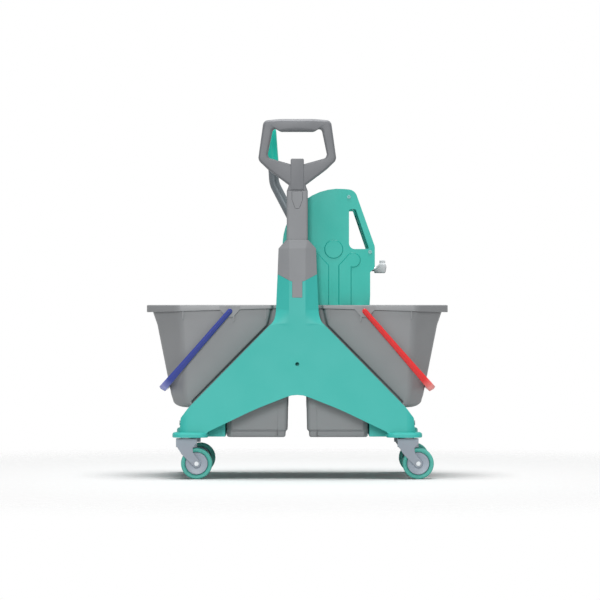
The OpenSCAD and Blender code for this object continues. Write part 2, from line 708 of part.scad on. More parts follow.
// A pressing plate with rows of upright drain slots
module jaw_plate(x, half, top) {
    pitch = 22;
    difference() {
        box([x, -half, 275], [x + jaw_t, half, top]);
        for (y = [-2.5:1:2.5], z = [290:90:470])
            translate([x - 1, 0, 0]) rotate([90, 0, 90]) linear_extrude(jaw_t + 2) polygon(rounded(
                [[y * pitch - 4, z, 3.5], [y * pitch + 4, z, 3.5],
                 [y * pitch + 4, z + 70, 3.5], [y * pitch - 4, z + 70, 3.5]]));
    }
}
fixed_x = 150;
module fixed_jaw() { color(PALE) jaw_plate(fixed_x, liner_y, 562); }

// The bar between the cheeks that a hand closes on through the carrying hole
module carry_bar() {
    section = [[151.5, 688, 5], [183.5, 594, 5], [196, 600, 5], [164, 699, 5]];
    color(TEAL) slab(-liner_y, liner_y) polygon(rounded(section));
}

module shaft_bushes() {
    color(PALE) both_ends() for (y = [[-liner_y - liner_t - 3, -liner_y + 1],
                                      [-cheek_y + cheek_wall + 0.5 + seat, -gear_y1 - 3.5]])
        difference() {
            rod_y(pivot_x, pivot_z, y[0], y[1], shaft_r + 3);
            rod_y(pivot_x, pivot_z, y[0] - 1, y[1] + 1, shaft_r + fit);
        }
}

// The torsion spring that lifts the lever, wound round the front liner's bearing
spring_wire = 0.9;
spring_coil = shaft_r + 3 + 2;
spring_turns = 3;
spring_pitch = 2 * spring_wire + 0.6;
spring_y = -liner_y + 0.4 + spring_wire;
spring_steps = 8 * spring_turns;
function spring_point(a, lift) = [pivot_x + spring_coil * cos(a), spring_y + spring_pitch * a / 360,
    pivot_z + spring_coil * sin(a) + lift];
function wire_ring(p, a) = [for (k = [0:5]) let (b = 60 * k)
    [p.x + spring_wire * cos(b) * cos(a), p.y + spring_wire * sin(b), p.z + spring_wire * cos(b) * sin(a)]];
spring_ends = 360 * spring_turns;
spring_rings = concat([wire_ring(spring_point(0, -2 * spring_wire), 0)],
    [for (i = [0:spring_steps]) let (a = 45 * i) wire_ring(spring_point(a, 0), a)],
    [wire_ring(spring_point(spring_ends, 2 * spring_wire), 0)]);
spring_gap = min([for (i = [0:spring_steps - 8])
    norm(spring_point(45 * i + 360, 0) - spring_point(45 * i, 0)) - 2 * spring_wire]);
echo(spring_gap = spring_gap);
module return_spring() {
    color(STEEL) loft([for (i = [len(spring_rings) - 1:-1:0]) spring_rings[i]]);
}

module cheek_screws() {
    color(STEEL) both_ends() for (p = screw_places) {
        difference() {
            rod_y(p.x, p.y, -cheek_y - 2, -cheek_y, 5);
            translate([p.x, -cheek_y - 1, p.y]) rotate([90, 0, 0]) cylinder(h = 3, r = 2.5, $fn = 6);
        }
        rod_y(p.x, p.y, -cheek_y - 0.5, -liner_y - 1, 2.5);
    }
}

// Lever: a yoke on two stub shafts carries the bent tube between the cheeks
socket = [8, 632];
lean = 27.5;
along = [-sin(lean), cos(lean)];
elbow = socket + 148 * along;
yoke_y0 = 63;
yoke_t = 9;
function link_outline(p, r1, q, r2) =
    let (d = q - p, a = atan2(d.y, d.x), b = acos((r1 - r2) / norm(d)))
    concat(arc(p, r1, a + b, a + 360 - b, 12), arc(q, r2, a - b, a + b, 12));
module lever_yoke() {
    socket_r = tube_r + 3;
    color(STEEL) difference() {
        union() {
            both_ends() slab(-yoke_y0 - yoke_t, -yoke_y0)
                polygon([for (p = link_outline([pivot_x, pivot_z], 18, socket, 13)) flat(p)]);
            rod_y(socket.x, socket.y, -yoke_y0 - 1, yoke_y0 + 1, 12);
            translate([socket.x, 0, socket.y]) rotate([0, -lean, 0])
                translate([0, 0, -12]) cylinder(h = 46, r = socket_r);
        }
        both_ends() rod_y(pivot_x, pivot_z, -yoke_y0 - yoke_t - 1, -yoke_y0 + 1, shaft_r + fit);
        translate([socket.x, 0, socket.y]) rotate([0, -lean, 0])
            translate([0, 0, -8]) cylinder(h = 60, r = tube_r + fit);
    }
}

grip_cap = 16;
top_point = [-69, grip_top - grip_cap];
tube_dirs = [for (t = [0:0.25:1]) unit((1 - t) * along + t * unit(top_point - elbow))];
bend_r = 60;
bend_turn = turn(unit(top_point - elbow), along);
bend_in = elbow - bend_r * tan(bend_turn / 2) * along;
function bend_point(t) =
    let (side = [along.y, -along.x], c = bend_in + bend_r * side, a = -bend_turn * t)
    c - bend_r * [side.x * cos(a) - side.y * sin(a), side.x * sin(a) + side.y * cos(a)];
tube_path = concat([socket - 7 * along], [for (t = [0:0.25:1]) bend_point(t)], [top_point]);
tube_way = concat([along], tube_dirs, [tube_dirs[4]]);
tube_wall = 1.6;
function tube_rings(r) =
    [for (i = [0:len(tube_path) - 1]) tube_ring(tube_path[i], tube_way[i], r, 20)];
module lever_tube() {
    outer = tube_rings(tube_r);
    inner = tube_rings(tube_r - tube_wall);
    color(STEEL) closed_loft(concat(outer, [for (i = [len(inner) - 1:-1:0]) inner[i]]));
}

module lever_grip() {
    grip_len = 97;
    way = tube_dirs[4];
    tilt = atan2(-way.x, way.y);
    foot_point = top_point + (grip_cap - grip_len) * way;
    color(TEAL) translate([foot_point.x, 0, foot_point.y]) rotate([0, -tilt, 0]) difference() {
        rotate_extrude() polygon(concat([[0, 0], [grip_r - 1.5, 0], [grip_r, 1.5], [grip_r, 12]],
            [for (a = [0:15:75]) [(grip_r - 0.7) * cos(a), grip_len - 14 + 14 * sin(a)]], [[0, grip_len]]));
        translate([0, 0, -1]) cylinder(h = grip_len - grip_cap + 1 + seat, r = tube_r + fit);
    }
}

module stub_shafts() {
    color(STEEL) both_ends() rod_y(pivot_x, pivot_z, -cheek_y + cheek_wall + 1, -yoke_y0 + 1, shaft_r);
}

// Involute teeth of a sector, and the straight teeth of its rack
pressure = 20;
backlash = 0.25;
base_r = pitch_r * cos(pressure);
root_r = pitch_r - 1.15 * tooth_m;
tip_r = pitch_r + 0.9 * tooth_m;
function involute(r) = let (a = acos(min(1, base_r / r))) tan(a) * 180 / PI - a;
function tooth_half(r) = (PI * tooth_m / 2 - backlash) / (2 * pitch_r) * 180 / PI
    + involute(pitch_r) - involute(r);
function polar(r, a) = [pivot_x + r * cos(a), pivot_z + r * sin(a)];
tooth_radii = [root_r, pitch_r - 0.5 * tooth_m, pitch_r, pitch_r + 0.45 * tooth_m, tip_r];
function tooth(a) = concat([for (r = tooth_radii) polar(r, a - tooth_half(r))],
    [for (i = [len(tooth_radii) - 1:-1:0]) polar(tooth_radii[i], a + tooth_half(tooth_radii[i]))]);
module sector() {
    step = 360 / teeth;
    edge = root_r - 14;
    difference() {
        slab(-gear_y1, -gear_y0) {
            polygon(concat([for (k = [-8:1]) each tooth(270 + (k + 0.5) * step)],
                [polar(edge, 270 + 1.8 * step), polar(14, 300), polar(14, 170), polar(edge, 270 - 8.3 * step)]));
            translate([pivot_x, pivot_z]) circle(r = shaft_r + 8);
        }
        rod_y(pivot_x, pivot_z, -gear_y1 - 1, -gear_y0 + 1, shaft_r + fit);
    }
}
module front_sector() { color(PALE) sector(); }
module rear_sector() { color(PALE) mirror([0, 1, 0]) sector(); }

module rack() {
    pitch = PI * tooth_m;
    line_z = pivot_z - pitch_r;
    half = (pitch / 2 - backlash) / 2;
    slope = tan(pressure);
    up = 0.9 * tooth_m;
    down = 1.15 * tooth_m;
    first = -floor((stroke + 20) / pitch);
    teeth_line = [for (k = [1:-1:first]) let (x = pivot_x + k * pitch)
        each [[x + half + down * slope, line_z - down], [x + half - up * slope, line_z + up],
              [x - half + up * slope, line_z + up], [x - half - down * slope, line_z - down]]];
    x0 = pivot_x + (first - 0.6) * pitch;
    x1 = pivot_x + 1.6 * pitch;
    slab(-gear_y1, -gear_y0) polygon(concat([[x0, rack_foot], [x1, rack_foot], [x1, line_z - down]],
        teeth_line, [[x0, line_z - down]]));
}
module front_rack() { color(PALE) rack(); }
module rear_rack() { color(PALE) mirror([0, 1, 0]) rack(); }

module moving_jaw() {
    color(PALE) {
        jaw_plate(jaw_x, 66, 562);
        both_ends() box([link_x[0], -gear_y1, rack_foot - link_t], [link_x[1], -60, rack_foot]);
    }
}

knob_x = 205;
module pressure_knob() {
    color(PALE) difference() {
        union() {
            translate([knob_x - 6, 0, spindle_z]) rotate([0, 90, 0]) rotate_extrude()
                polygon([[0, 0], [9, 0], [11.5, 9], [11.5, 28], [9.5, 33], [0, 33]]);
            slab(-4.5, 4.5) polygon(rounded([[knob_x + 7, spindle_z + 8, 0], [knob_x + 23, spindle_z + 8, 0],
                [knob_x + 23, spindle_z + 23, 3], [knob_x + 7, spindle_z + 23, 3]]));
        }
        rod_x(0, spindle_z, knob_x - 7, knob_x + 12, spindle_r + fit);
    }
}
module pressure_spindle() {
    color(STEEL) rod_x(0, spindle_z, fixed_x + jaw_t + seat, knob_x + 11, spindle_r);
}

// Castor pieces, drawn round the swivel axis with the floor at zero
fork_top = deck_z - 3;
wheel_gap = 1.5;
leg_y = wheel_w / 2 + wheel_gap;
module castor_at(sx, sy) { translate([sx * caster_x, sy * caster_y, 0]) children(); }
module fork() {
    crown_z = 2 * wheel_r + 4;
    end_r = 10;
    leg = concat([[-head_r + 0.5, crown_z + 3, 5], [-head_r + 0.5, fork_top - 0.5, 0],
                  [head_r - 0.5, fork_top - 0.5, 0], [head_r - 0.5, crown_z + 8, 4], [16, crown_z - 2, 8],
                  [17, crown_z - 16, 12]],
        arc([trail, wheel_r], end_r, 45, -135, 8), [[-12, wheel_r + 24, 20]]);
    outline = [for (i = [len(leg) - 1:-1:0]) leg[i]];
    flank = leg_y + leg_t - 0.6;
    color(PALE) difference() {
        union() {
            both_ends() slab(-leg_y - leg_t, -leg_y) polygon(rounded(outline));
            intersection() {
                translate([0, 0, crown_z - 2]) cylinder(h = fork_top - crown_z + 2, r = head_r);
                box([-head_r - 1, -flank, crown_z - 3], [head_r + 1, flank, fork_top + 1]);
            }
        }
        rod_y(trail, wheel_r, -leg_y - leg_t - 1, leg_y + leg_t + 1, axle_r + fit);
        translate([0, 0, crown_z - 3]) cylinder(h = 60, r = stem_r + fit);
    }
}
module stem() {
    color(STEEL) {
        translate([0, 0, 2 * wheel_r + 3]) cylinder(h = bush_top - 2 * wheel_r - 5, r = stem_r);
        translate([0, 0, fork_top]) cylinder(h = deck_z - fork_top - seat, r = stem_r + 5);
    }
}
module axle() {
    end = leg_y + leg_t;
    color(STEEL) {
        rod_y(trail, wheel_r, -end - 1, end + 1, axle_r);
        both_ends() rod_y(trail, wheel_r, -end - 3, -end, axle_r + 2);
    }
}
module wheel_turned(profile) {
    translate([trail, 0, wheel_r]) rotate([90, 0, 0]) rotate_extrude($fn = 64) polygon(profile);
}
module hub() {
    half = wheel_w / 2;
    color(PALE) wheel_turned([[axle_r + fit, -half], [10, -half], [12, -half + 4], [hub_r - 6, -half + 3],
        [hub_r - 1.6, -half + 1.2], [hub_r, -half + 5], [hub_r, half - 5], [hub_r - 1.6, half - 1.2],
        [hub_r - 6, half - 3], [12, half - 4], [10, half], [axle_r + fit, half]]);
}
module tyre() {
    half = wheel_w / 2;
    edge = 4;
    color(TEAL) wheel_turned(concat([[hub_r + fit, -half + 5], [hub_r + 1.6, -half + 1.5]],
        [for (a = [-90:15:0]) [wheel_r - edge + edge * cos(a), -half + edge + edge * sin(a)]],
        [for (a = [0:15:90]) [wheel_r - edge + edge * cos(a), half - edge + edge * sin(a)]],
        [[hub_r + 1.6, half - 1.5], [hub_r + fit, half - 5]]));
}

module castor_piece(piece) {
    if (piece == "fork") fork();
    if (piece == "stem") stem();
    if (piece == "axle") axle();
    if (piece == "hub") hub();
    if (piece == "tyre") tyre();
}

front_frame();
rear_frame();
left_beam();
right_beam();
centre_web();
frame_screws();
caster_bushes();
handle_collar();
handle_post();
push_handle();
lock_button();
left_bucket();
left_bail();
right_bucket();
right_bail();
front_cheek();
rear_cheek();
front_liner();
rear_liner();
press_trough();
fixed_jaw();
carry_bar();
shaft_bushes();
return_spring();
cheek_screws();
lever_yoke();
lever_tube();
lever_grip();
stub_shafts();
front_sector();
rear_sector();
moving_jaw();
front_rack();
rear_rack();
pressure_knob();
pressure_spindle();
for (y = [["front", -1], ["rear", 1]], x = [["left", -1], ["right", 1]],
     piece = ["fork", "stem", "axle", "hub", "tyre"])
    castor_at(x[1], y[1]) castor_piece(piece);
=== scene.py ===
import json
import math
import bmesh
import bpy
import numpy as np
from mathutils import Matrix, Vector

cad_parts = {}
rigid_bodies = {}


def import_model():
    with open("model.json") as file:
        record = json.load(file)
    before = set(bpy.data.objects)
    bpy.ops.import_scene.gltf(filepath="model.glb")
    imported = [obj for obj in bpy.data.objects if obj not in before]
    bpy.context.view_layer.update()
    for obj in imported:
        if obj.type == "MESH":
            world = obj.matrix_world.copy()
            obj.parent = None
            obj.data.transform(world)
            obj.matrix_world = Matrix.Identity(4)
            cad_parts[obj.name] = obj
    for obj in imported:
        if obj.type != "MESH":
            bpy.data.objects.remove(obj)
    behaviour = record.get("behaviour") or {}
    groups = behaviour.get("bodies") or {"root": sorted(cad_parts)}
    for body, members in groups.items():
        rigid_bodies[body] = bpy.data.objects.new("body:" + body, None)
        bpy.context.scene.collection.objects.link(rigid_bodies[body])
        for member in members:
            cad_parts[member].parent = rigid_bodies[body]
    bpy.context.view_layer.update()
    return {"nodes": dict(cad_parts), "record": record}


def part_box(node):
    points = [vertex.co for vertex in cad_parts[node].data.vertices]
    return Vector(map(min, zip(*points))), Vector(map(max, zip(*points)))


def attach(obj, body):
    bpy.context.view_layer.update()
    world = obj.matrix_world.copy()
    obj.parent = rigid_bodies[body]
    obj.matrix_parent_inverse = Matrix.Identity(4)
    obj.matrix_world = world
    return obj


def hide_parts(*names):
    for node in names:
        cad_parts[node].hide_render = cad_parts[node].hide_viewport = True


# The trolley as it is put together: castors, A frames, handle, buckets, press, lever and adjuster.
# Every solid is already in place in metres; each section dresses its pieces and gives them their finish.
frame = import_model()

# Castors: a glass-filled nylon fork turns on a steel stem under each foot and holds a wheel
# of a pale moulded hub with a soft rubber tyre, running on a polished steel axle.
MM = 1000
CORNERS = [f"{end}_{side}" for end in ("front", "rear") for side in ("left", "right")]
DRIFT_MM = 90
LINE_STRETCH = 60
BODY_OF = {node: body for body, nodes in frame["record"]["behaviour"]["bodies"].items() for node in nodes}


def linear(colour):
    """Turns an sRGB hex colour into linear values: each channel c becomes ((c + 0.055) / 1.055) ** 2.4."""
    channels = np.array([int(colour[i:i + 2], 16) for i in (1, 3, 5)]) / 255
    curve = np.where(channels <= 0.04045, channels / 12.92, ((channels + 0.055) / 1.055) ** 2.4)
    return (*curve.tolist(), 1.0)


def add(tree, kind, links=None, values=None, **settings):
    """Adds one node: settings go on the node, values on its sockets, and links join the outputs of other
    nodes to them."""
    node = tree.nodes.new(kind)
    for name, value in settings.items():
        setattr(node, name, value)
    for name, value in (values or {}).items():
        node.inputs[name].default_value = value
    for name, output in (links or {}).items():
        tree.links.new(output, node.inputs[name])
    return node


def moulded(name, colour, shade, roughness, grain_mm, grain_depth=0.05, ior=1.49):
    """Moulded plastic or rubber: a broad drift between two tones, a satin gloss that wanders a little,
    and a fine spark-eroded grain, drawn at grain_mm so that it shows."""
    material = bpy.data.materials.new(name)
    material.use_nodes = True
    tree = material.node_tree
    shader = tree.nodes["Principled BSDF"]
    shader.inputs["IOR"].default_value = ior
    place = add(tree, "ShaderNodeTexCoord")
    drift = add(tree, "ShaderNodeTexNoise", {"Vector": place.outputs["Object"]},
                {"Scale": MM / DRIFT_MM, "Detail": 3.0, "Roughness": 0.5})
    tone = add(tree, "ShaderNodeMix", {"Factor": drift.outputs["Fac"]}, data_type="RGBA")
    tone.inputs["A"].default_value = linear(colour)
    tone.inputs["B"].default_value = linear(shade)
    gloss = add(tree, "ShaderNodeMapRange", {"Value": drift.outputs["Fac"]},
                {"From Min": 0.3, "From Max": 0.7, "To Min": roughness - 0.04, "To Max": roughness + 0.05})
    grain = add(tree, "ShaderNodeTexNoise", {"Vector": place.outputs["Object"]},
                {"Scale": MM / grain_mm, "Detail": 2.0})
    bump = add(tree, "ShaderNodeBump", {"Height": grain.outputs["Fac"]},
               {"Strength": grain_depth, "Distance": 0.001})
    tree.links.new(tone.outputs["Result"], shader.inputs["Base Color"])
    tree.links.new(gloss.outputs["Result"], shader.inputs["Roughness"])
    tree.links.new(bump.outputs["Normal"], shader.inputs["Normal"])
    return material


def dress(node, material, edge_mm, angle=35, segments=2, fuller=None, drift=None):
    """The node's own solid with its loose triangles merged, flat faces joined and every edge sharper
    than the angle rounded to edge_mm, as a mould leaves it. With fuller, a width and a test of an edge's
    middle, the edges that pass the test are rounded to that width instead. With drift, a function of a
    corner's place in millimetres, each corner moves that far along X first."""
    mesh = frame["nodes"][node].data.copy()
    build = bmesh.new()
    build.from_mesh(mesh)
    bmesh.ops.remove_doubles(build, verts=build.verts, dist=0.00001)
    bmesh.ops.dissolve_limit(build, angle_limit=math.radians(0.5), verts=build.verts, edges=build.edges)
    if drift:
        for corner in build.verts:
            corner.co.x += drift(*(corner.co * MM)) / MM
    if fuller:
        weight = build.edges.layers.float.new("bevel_weight_edge")
        for line in build.edges:
            bent = line.is_manifold and line.calc_face_angle(0) > math.radians(angle)
            full = fuller[1]((line.verts[0].co + line.verts[1].co) * (MM / 2))
            line[weight] = (1.0 if full else edge_mm / fuller[0]) if bent else 0.0
    build.to_mesh(mesh)
    build.free()
    mesh.materials.clear()
    mesh.materials.append(material)
    mesh.polygons.foreach_set("use_smooth", np.ones(len(mesh.polygons), dtype=bool))
    mesh.set_sharp_from_angle(angle=math.radians(angle))
    piece = bpy.data.objects.new(f"{node}_skin", mesh)
    bpy.context.scene.collection.objects.link(piece)
    if edge_mm > 0:
        bevel = piece.modifiers.new("edges", "BEVEL")
        bevel.width = (fuller[0] if fuller else edge_mm) / MM
        bevel.segments = segments
        bevel.limit_method = "WEIGHT" if fuller else "ANGLE"
        bevel.angle_limit = math.radians(angle)
        bevel.use_clamp_overlap = True
        normals = piece.modifiers.new("flat_faces", "WEIGHTED_NORMAL")
        normals.keep_sharp = True
    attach(piece, BODY_OF[node])
    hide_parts(node)
    return piece


def brushed(name, colour, roughness, line_mm, metallic=1.0):
    """Drawn or coated steel: fine lines along Z, 60 times as long as line_mm, which streak the gloss. Where
    a coat dulls the steel, metallic is below 1."""
    material = bpy.data.materials.new(name)
    material.use_nodes = True
    tree = material.node_tree
    shader = tree.nodes["Principled BSDF"]
    shader.inputs["Base Color"].default_value = linear(colour)
    shader.inputs["Metallic"].default_value = metallic
    place = add(tree, "ShaderNodeTexCoord")
    stretch = add(tree, "ShaderNodeMapping", {"Vector": place.outputs["Object"]})
    stretch.inputs["Scale"].default_value = (MM / line_mm, MM / line_mm, MM / (line_mm * LINE_STRETCH))
    lines = add(tree, "ShaderNodeTexNoise", {"Vector": stretch.outputs["Vector"]},
                {"Scale": 1.0, "Detail": 2.0})
    gloss = add(tree, "ShaderNodeMapRange", {"Value": lines.outputs["Fac"]},
                {"From Min": 0.3, "From Max": 0.7, "To Min": roughness - 0.06, "To Max": roughness + 0.08})
    tree.links.new(gloss.outputs["Result"], shader.inputs["Roughness"])
    return material


# Glass-filled nylon is a dry, even grey; the unfilled hub is smoother and paler; the rubber is matt and
# takes no sharp highlight; the drawn axles are bright; zinc-plated screws are dull and grey.
fork_nylon = moulded("glass_filled_nylon_pale_grey", "#969DA8", "#8D959F", 0.42, 1.6)
hub_nylon = moulded("moulded_nylon_hub", "#9FA9B4", "#96A0AC", 0.38, 1.6)
tyre_rubber = moulded("soft_tpr_tyre_teal", "#50AEA1", "#48A598", 0.55, 1.2)
axle_steel = brushed("drawn_bright_steel", "#C9CDD0", 0.28, 1.0)
screw_steel = brushed("zinc_plated_screw_steel", "#6F7B7C", 0.45, 1.0)
for corner in CORNERS:
    dress(f"{corner}_fork", fork_nylon, 0.9)
    dress(f"{corner}_hub", hub_nylon, 0.5)
    dress(f"{corner}_tyre", tyre_rubber, 0.0)
    dress(f"{corner}_stem", axle_steel, 0.3)
    dress(f"{corner}_axle", axle_steel, 0.6)

# Chassis: two A shaped polypropylene frames, moulded with a skin and ribs, are tied by channel
# beams under the buckets and a web between them, and pinned with steel screws.
# Polypropylene straight from the mould: a satin, slightly waxy teal with broad soft highlights.
frame_plastic = moulded("moulded_polypropylene_teal", "#38B5AC", "#32B0A6", 0.48, 1.8)
PLATE_FRONT, COLLAR_FOOT = 188.0, 440.0
BORE_Z, BORE_CLEAR = 295.0, 12.0


def on_plate_edge(place):
    """Whether an edge's middle, in millimetres, lies on the rim of an A plate's outer face, below the
    collar and away from the accessory bore."""
    return (abs(abs(place.y) - PLATE_FRONT) < 0.2 and place.z < COLLAR_FOOT
            and math.hypot(place.x, place.z - BORE_Z) > BORE_CLEAR)


for node in ("front_frame", "rear_frame"):
    dress(node, frame_plastic, 1.2, angle=22, segments=4, fuller=(4.5, on_plate_edge))
for node in ("left_beam", "right_beam", "centre_web"):
    dress(node, frame_plastic, 1.0)
dress("caster_bushes", hub_nylon, 0.3)
dress("frame_screws", screw_steel, 0.4)


def grid_faces(rows, columns, loop_rows=False, loop_columns=True, start=0):
    """Quads of a grid of points, numbered from start. Its columns close on themselves unless loop_columns
    is off, and its rows do so if loop_rows is set."""
    row = np.arange(rows if loop_rows else rows - 1)[:, None]
    column = np.arange(columns if loop_columns else columns - 1)[None, :]
    above = (row + 1) % rows
    beside = (column + 1) % columns
    quads = np.stack([row * columns + column, row * columns + beside, above * columns + beside,
                      above * columns + column], axis=-1).reshape(-1, 4) + start
    return quads.tolist()


def made_piece(name, points, faces, material, node, angle=40, edge_mm=0.0):
    """A piece from points in millimetres and faces, smooth but for edges sharper than the angle, that
    stands for the node and rides with its body."""
    mesh = bpy.data.meshes.new(name)
    mesh.from_pydata((np.asarray(points) / MM).tolist(), [], faces)
    mesh.materials.append(material)
    mesh.polygons.foreach_set("use_smooth", np.ones(len(mesh.polygons), dtype=bool))
    mesh.set_sharp_from_angle(angle=math.radians(angle))
    piece = bpy.data.objects.new(name, mesh)
    bpy.context.scene.collection.objects.link(piece)
    if edge_mm > 0:
        bevel = piece.modifiers.new("edges", "BEVEL")
        bevel.width = edge_mm / MM
        bevel.segments = 2
        bevel.limit_method = "ANGLE"
        bevel.angle_limit = math.radians(angle)
    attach(piece, BODY_OF[node])
    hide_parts(node)
    return piece


# Above the shoulder the column's facets fade into the plate; a fine skin over the solid's few rows
# turns smoothly there.
SKIN_Z = np.linspace(393, 435, 50)[:, None]
SKIN_ACROSS = np.linspace(0, 0.97, 12)[None, :]
FACET_W, SKIN_PROUD, SKIN_SWELL = 21.0, 0.15, 1.2
COLUMN_HALF = ([395, 400, 408, 418, 430, 460], [70, 64.5, 59.5, 56.5, 54.8, 53])
FACET_FALL = ([395, 430], [0.5, 14])
SWELL_FADE = ([393, 399, 426, 435], [0, 1, 1, 0])
FALL_SPAN = np.linspace(-7, 7, 15)


def shoulder_skin(side, end):
    """One facet over the shoulder, x = side (b + (w - b) u), y = end (front + proud - f u): w is the
    column's half width at a height, b its flat band's, and f the fall of the facet, averaged over a span of
    heights. The skin swells by 4 u (1 - u) to clear the solid's twisted rows."""
    half = np.interp(SKIN_Z, *COLUMN_HALF)
    fall = np.interp(SKIN_Z + FALL_SPAN, *FACET_FALL).mean(axis=1, keepdims=True)
    swell = SKIN_SWELL * np.interp(SKIN_Z, *SWELL_FADE) * 4 * SKIN_ACROSS * (1 - SKIN_ACROSS)
    x = side * (FACET_W + (half - FACET_W) * SKIN_ACROSS)
    y = end * (PLATE_FRONT + SKIN_PROUD + swell - fall * SKIN_ACROSS)
    return np.stack([x, y, np.broadcast_to(SKIN_Z, x.shape)], axis=-1)


for node, end in (("front_frame", -1), ("rear_frame", 1)):
    for side in (-1, 1):
        skin = shoulder_skin(side, end)
        turned = grid_faces(*skin.shape[:2], loop_columns=False)
        if side * end < 0:
            turned = [face[::-1] for face in turned]
        made_piece(f"{node}_shoulder_{'left' if side < 0 else 'right'}", skin.reshape(-1, 3), turned,
                   frame_plastic, node)

# Handle: a grey moulded collar closes the column, a box post stands in it, and the D grip
# plugs into the post behind a spring button.
# The post and collar are plain satin grey with little gloss; the grip is darker and softer to the touch.
handle_plastic = moulded("moulded_polypropylene_grey", "#95979A", "#8D8F92", 0.44, 1.8, ior=1.25)
grip_plastic = moulded("soft_touch_polypropylene_grey", "#74767A", "#6C6E72", 0.48, 1.6)
dress("handle_collar", handle_plastic, 1.2, angle=25, segments=3)
dress("handle_post", handle_plastic, 0.8)


def rounded(corners, radii, steps):
    """Closed outlines with round corners, as whole arrays. Each corner of the outline (..., K, 2) becomes
    an arc of its radius: centre = corner + bisector * r / sin(half), swept from one tangent point to the
    other."""
    before = np.roll(corners, 1, axis=-2) - corners
    after = np.roll(corners, -1, axis=-2) - corners
    before = before / np.linalg.norm(before, axis=-1, keepdims=True)
    after = after / np.linalg.norm(after, axis=-1, keepdims=True)
    half = np.arccos(np.clip((before * after).sum(-1), -1, 1)) / 2
    bisector = before + after
    bisector = bisector / np.linalg.norm(bisector, axis=-1, keepdims=True)
    centre = corners + bisector * (radii / np.sin(half))[..., None]
    start = corners + before * (radii / np.tan(half))[..., None] - centre
    end = corners + after * (radii / np.tan(half))[..., None] - centre
    cross = start[..., 0] * end[..., 1] - start[..., 1] * end[..., 0]
    swing = np.arctan2(cross, (start * end).sum(-1))
    first = np.arctan2(start[..., 1], start[..., 0])
    angle = first[..., None] + swing[..., None] * np.linspace(0, 1, steps)
    arcs = np.stack([np.cos(angle), np.sin(angle)], axis=-1) * radii[..., None, None] + centre[..., None, :]
    return arcs.reshape(*arcs.shape[:-3], -1, 2)


OUTLINE_STEPS, CORNER_STEPS, PILLOW_STEPS = 4000, 12, 6


def mirrored(half):
    """A right half outline, as corners (x, z, radius) from low to high, with its mirror image."""
    right = np.array(half, dtype=float)
    return np.vstack([right, right[::-1] * [-1, 1, 1]])


def polar_outline(half, middle, angles):
    """The distance of a mirrored outline from a middle point at each angle. The right half is a list of
    corners (x, z, radius); its sides are sampled every few tenths of a millimetre."""
    corners = mirrored(half)
    line = rounded(corners[:, :2], np.maximum(corners[:, 2], 0.01), CORNER_STEPS)
    line = np.vstack([line, line[:1]])
    along = np.concatenate([[0], np.cumsum(np.hypot(*np.diff(line, axis=0).T))])
    even = np.linspace(0, along[-1], OUTLINE_STEPS)
    out = np.stack([np.interp(even, along, line[:, i]) for i in (0, 1)], axis=1) - middle
    turn = np.mod(np.arctan2(out[:, 1], out[:, 0]), 2 * np.pi)
    order = np.argsort(turn)
    return np.interp(angles, turn[order], np.hypot(*out.T)[order], period=2 * np.pi)


def set_in(corners, inset):
    """Corners of outlines (..., K, 2) moved inwards so that every side stands inset further in: each corner
    shifts by inset * (n1 + n2) / (1 + n1 . n2), with n1 and n2 the normals of its two sides."""
    to = corners - np.roll(corners, 1, axis=-2)
    on = np.roll(corners, -1, axis=-2) - corners
    to = to / np.linalg.norm(to, axis=-1, keepdims=True)
    on = on / np.linalg.norm(on, axis=-1, keepdims=True)
    normal_to = np.stack([-to[..., 1], to[..., 0]], axis=-1)
    normal_on = np.stack([-on[..., 1], on[..., 0]], axis=-1)
    share = 1 + (normal_to * normal_on).sum(-1, keepdims=True)
    bend = np.sign(to[..., 0] * on[..., 1] - to[..., 1] * on[..., 0])
    return corners + np.asarray(inset)[..., None, None] * (normal_to + normal_on) / share, bend


def pillow(corners, y_low, y_high, edge, start):
    """An outline in X and Z as a slab with quarter-round edges: the rings lie at depth
    edge (1 - cos a) and are set in by edge (1 - sin a); points and faces, numbered from start."""
    quarter = np.linspace(0, np.pi / 2, PILLOW_STEPS)
    depth = edge * (1 - np.cos(quarter))
    inset = edge * (1 - np.sin(quarter))
    depth = np.concatenate([y_low + depth, y_high - depth[::-1]])
    inset = np.concatenate([inset, inset[::-1]])
    moved, bend = set_in(np.repeat(corners[None, :, :2], len(inset), axis=0), inset)
    outline = rounded(moved, np.maximum(0.2, corners[:, 2] - bend * inset[:, None]), PILLOW_STEPS)
    rows, columns = outline.shape[:2]
    deep = np.repeat(depth[:, None], columns, axis=1)
    points = np.stack([outline[..., 0], deep, outline[..., 1]], axis=-1)
    faces = [face[::-1] for face in grid_faces(rows, columns, start=start)]
    faces.append(list(range(start, start + columns)))
    faces.append(list(range(start + (rows - 1) * columns, start + rows * columns))[::-1])
    return points.reshape(-1, 3), faces


# The D grip is a ring: a rounded section is carried round the opening, as wide as the two outlines
# leave it. Its neck flares onto the post, and a raised strip runs up the neck into the opening.
GRIP_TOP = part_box("push_handle")[1][2] * MM
GRIP_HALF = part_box("push_handle")[1][0] * MM
GRIP_Y, GRIP_THICK = -162.0, 34.0
GRIP_FRONT, GRIP_BACK = GRIP_Y - GRIP_THICK / 2, GRIP_Y + GRIP_THICK / 2
POST_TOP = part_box("handle_post")[1][2] * MM
POST_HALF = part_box("handle_post")[1][0] * MM
ELBOW_Z = GRIP_TOP - 105
NECK_HALF, STRIP_HALF = 22.0, 17.0
GRIP_EDGE, ARM_EDGE, EDGE_SHARE = 11.0, 6.0, 0.48
RING_STEPS, SECTION_STEPS = 480, 8
outer_half = [(6, POST_TOP + 3, 4), (GRIP_HALF - 25.5, ELBOW_Z - 24.5, 40), (GRIP_HALF, ELBOW_Z, 16),
              (GRIP_HALF - 14, GRIP_TOP - 4, 14), (44, GRIP_TOP, 200)]
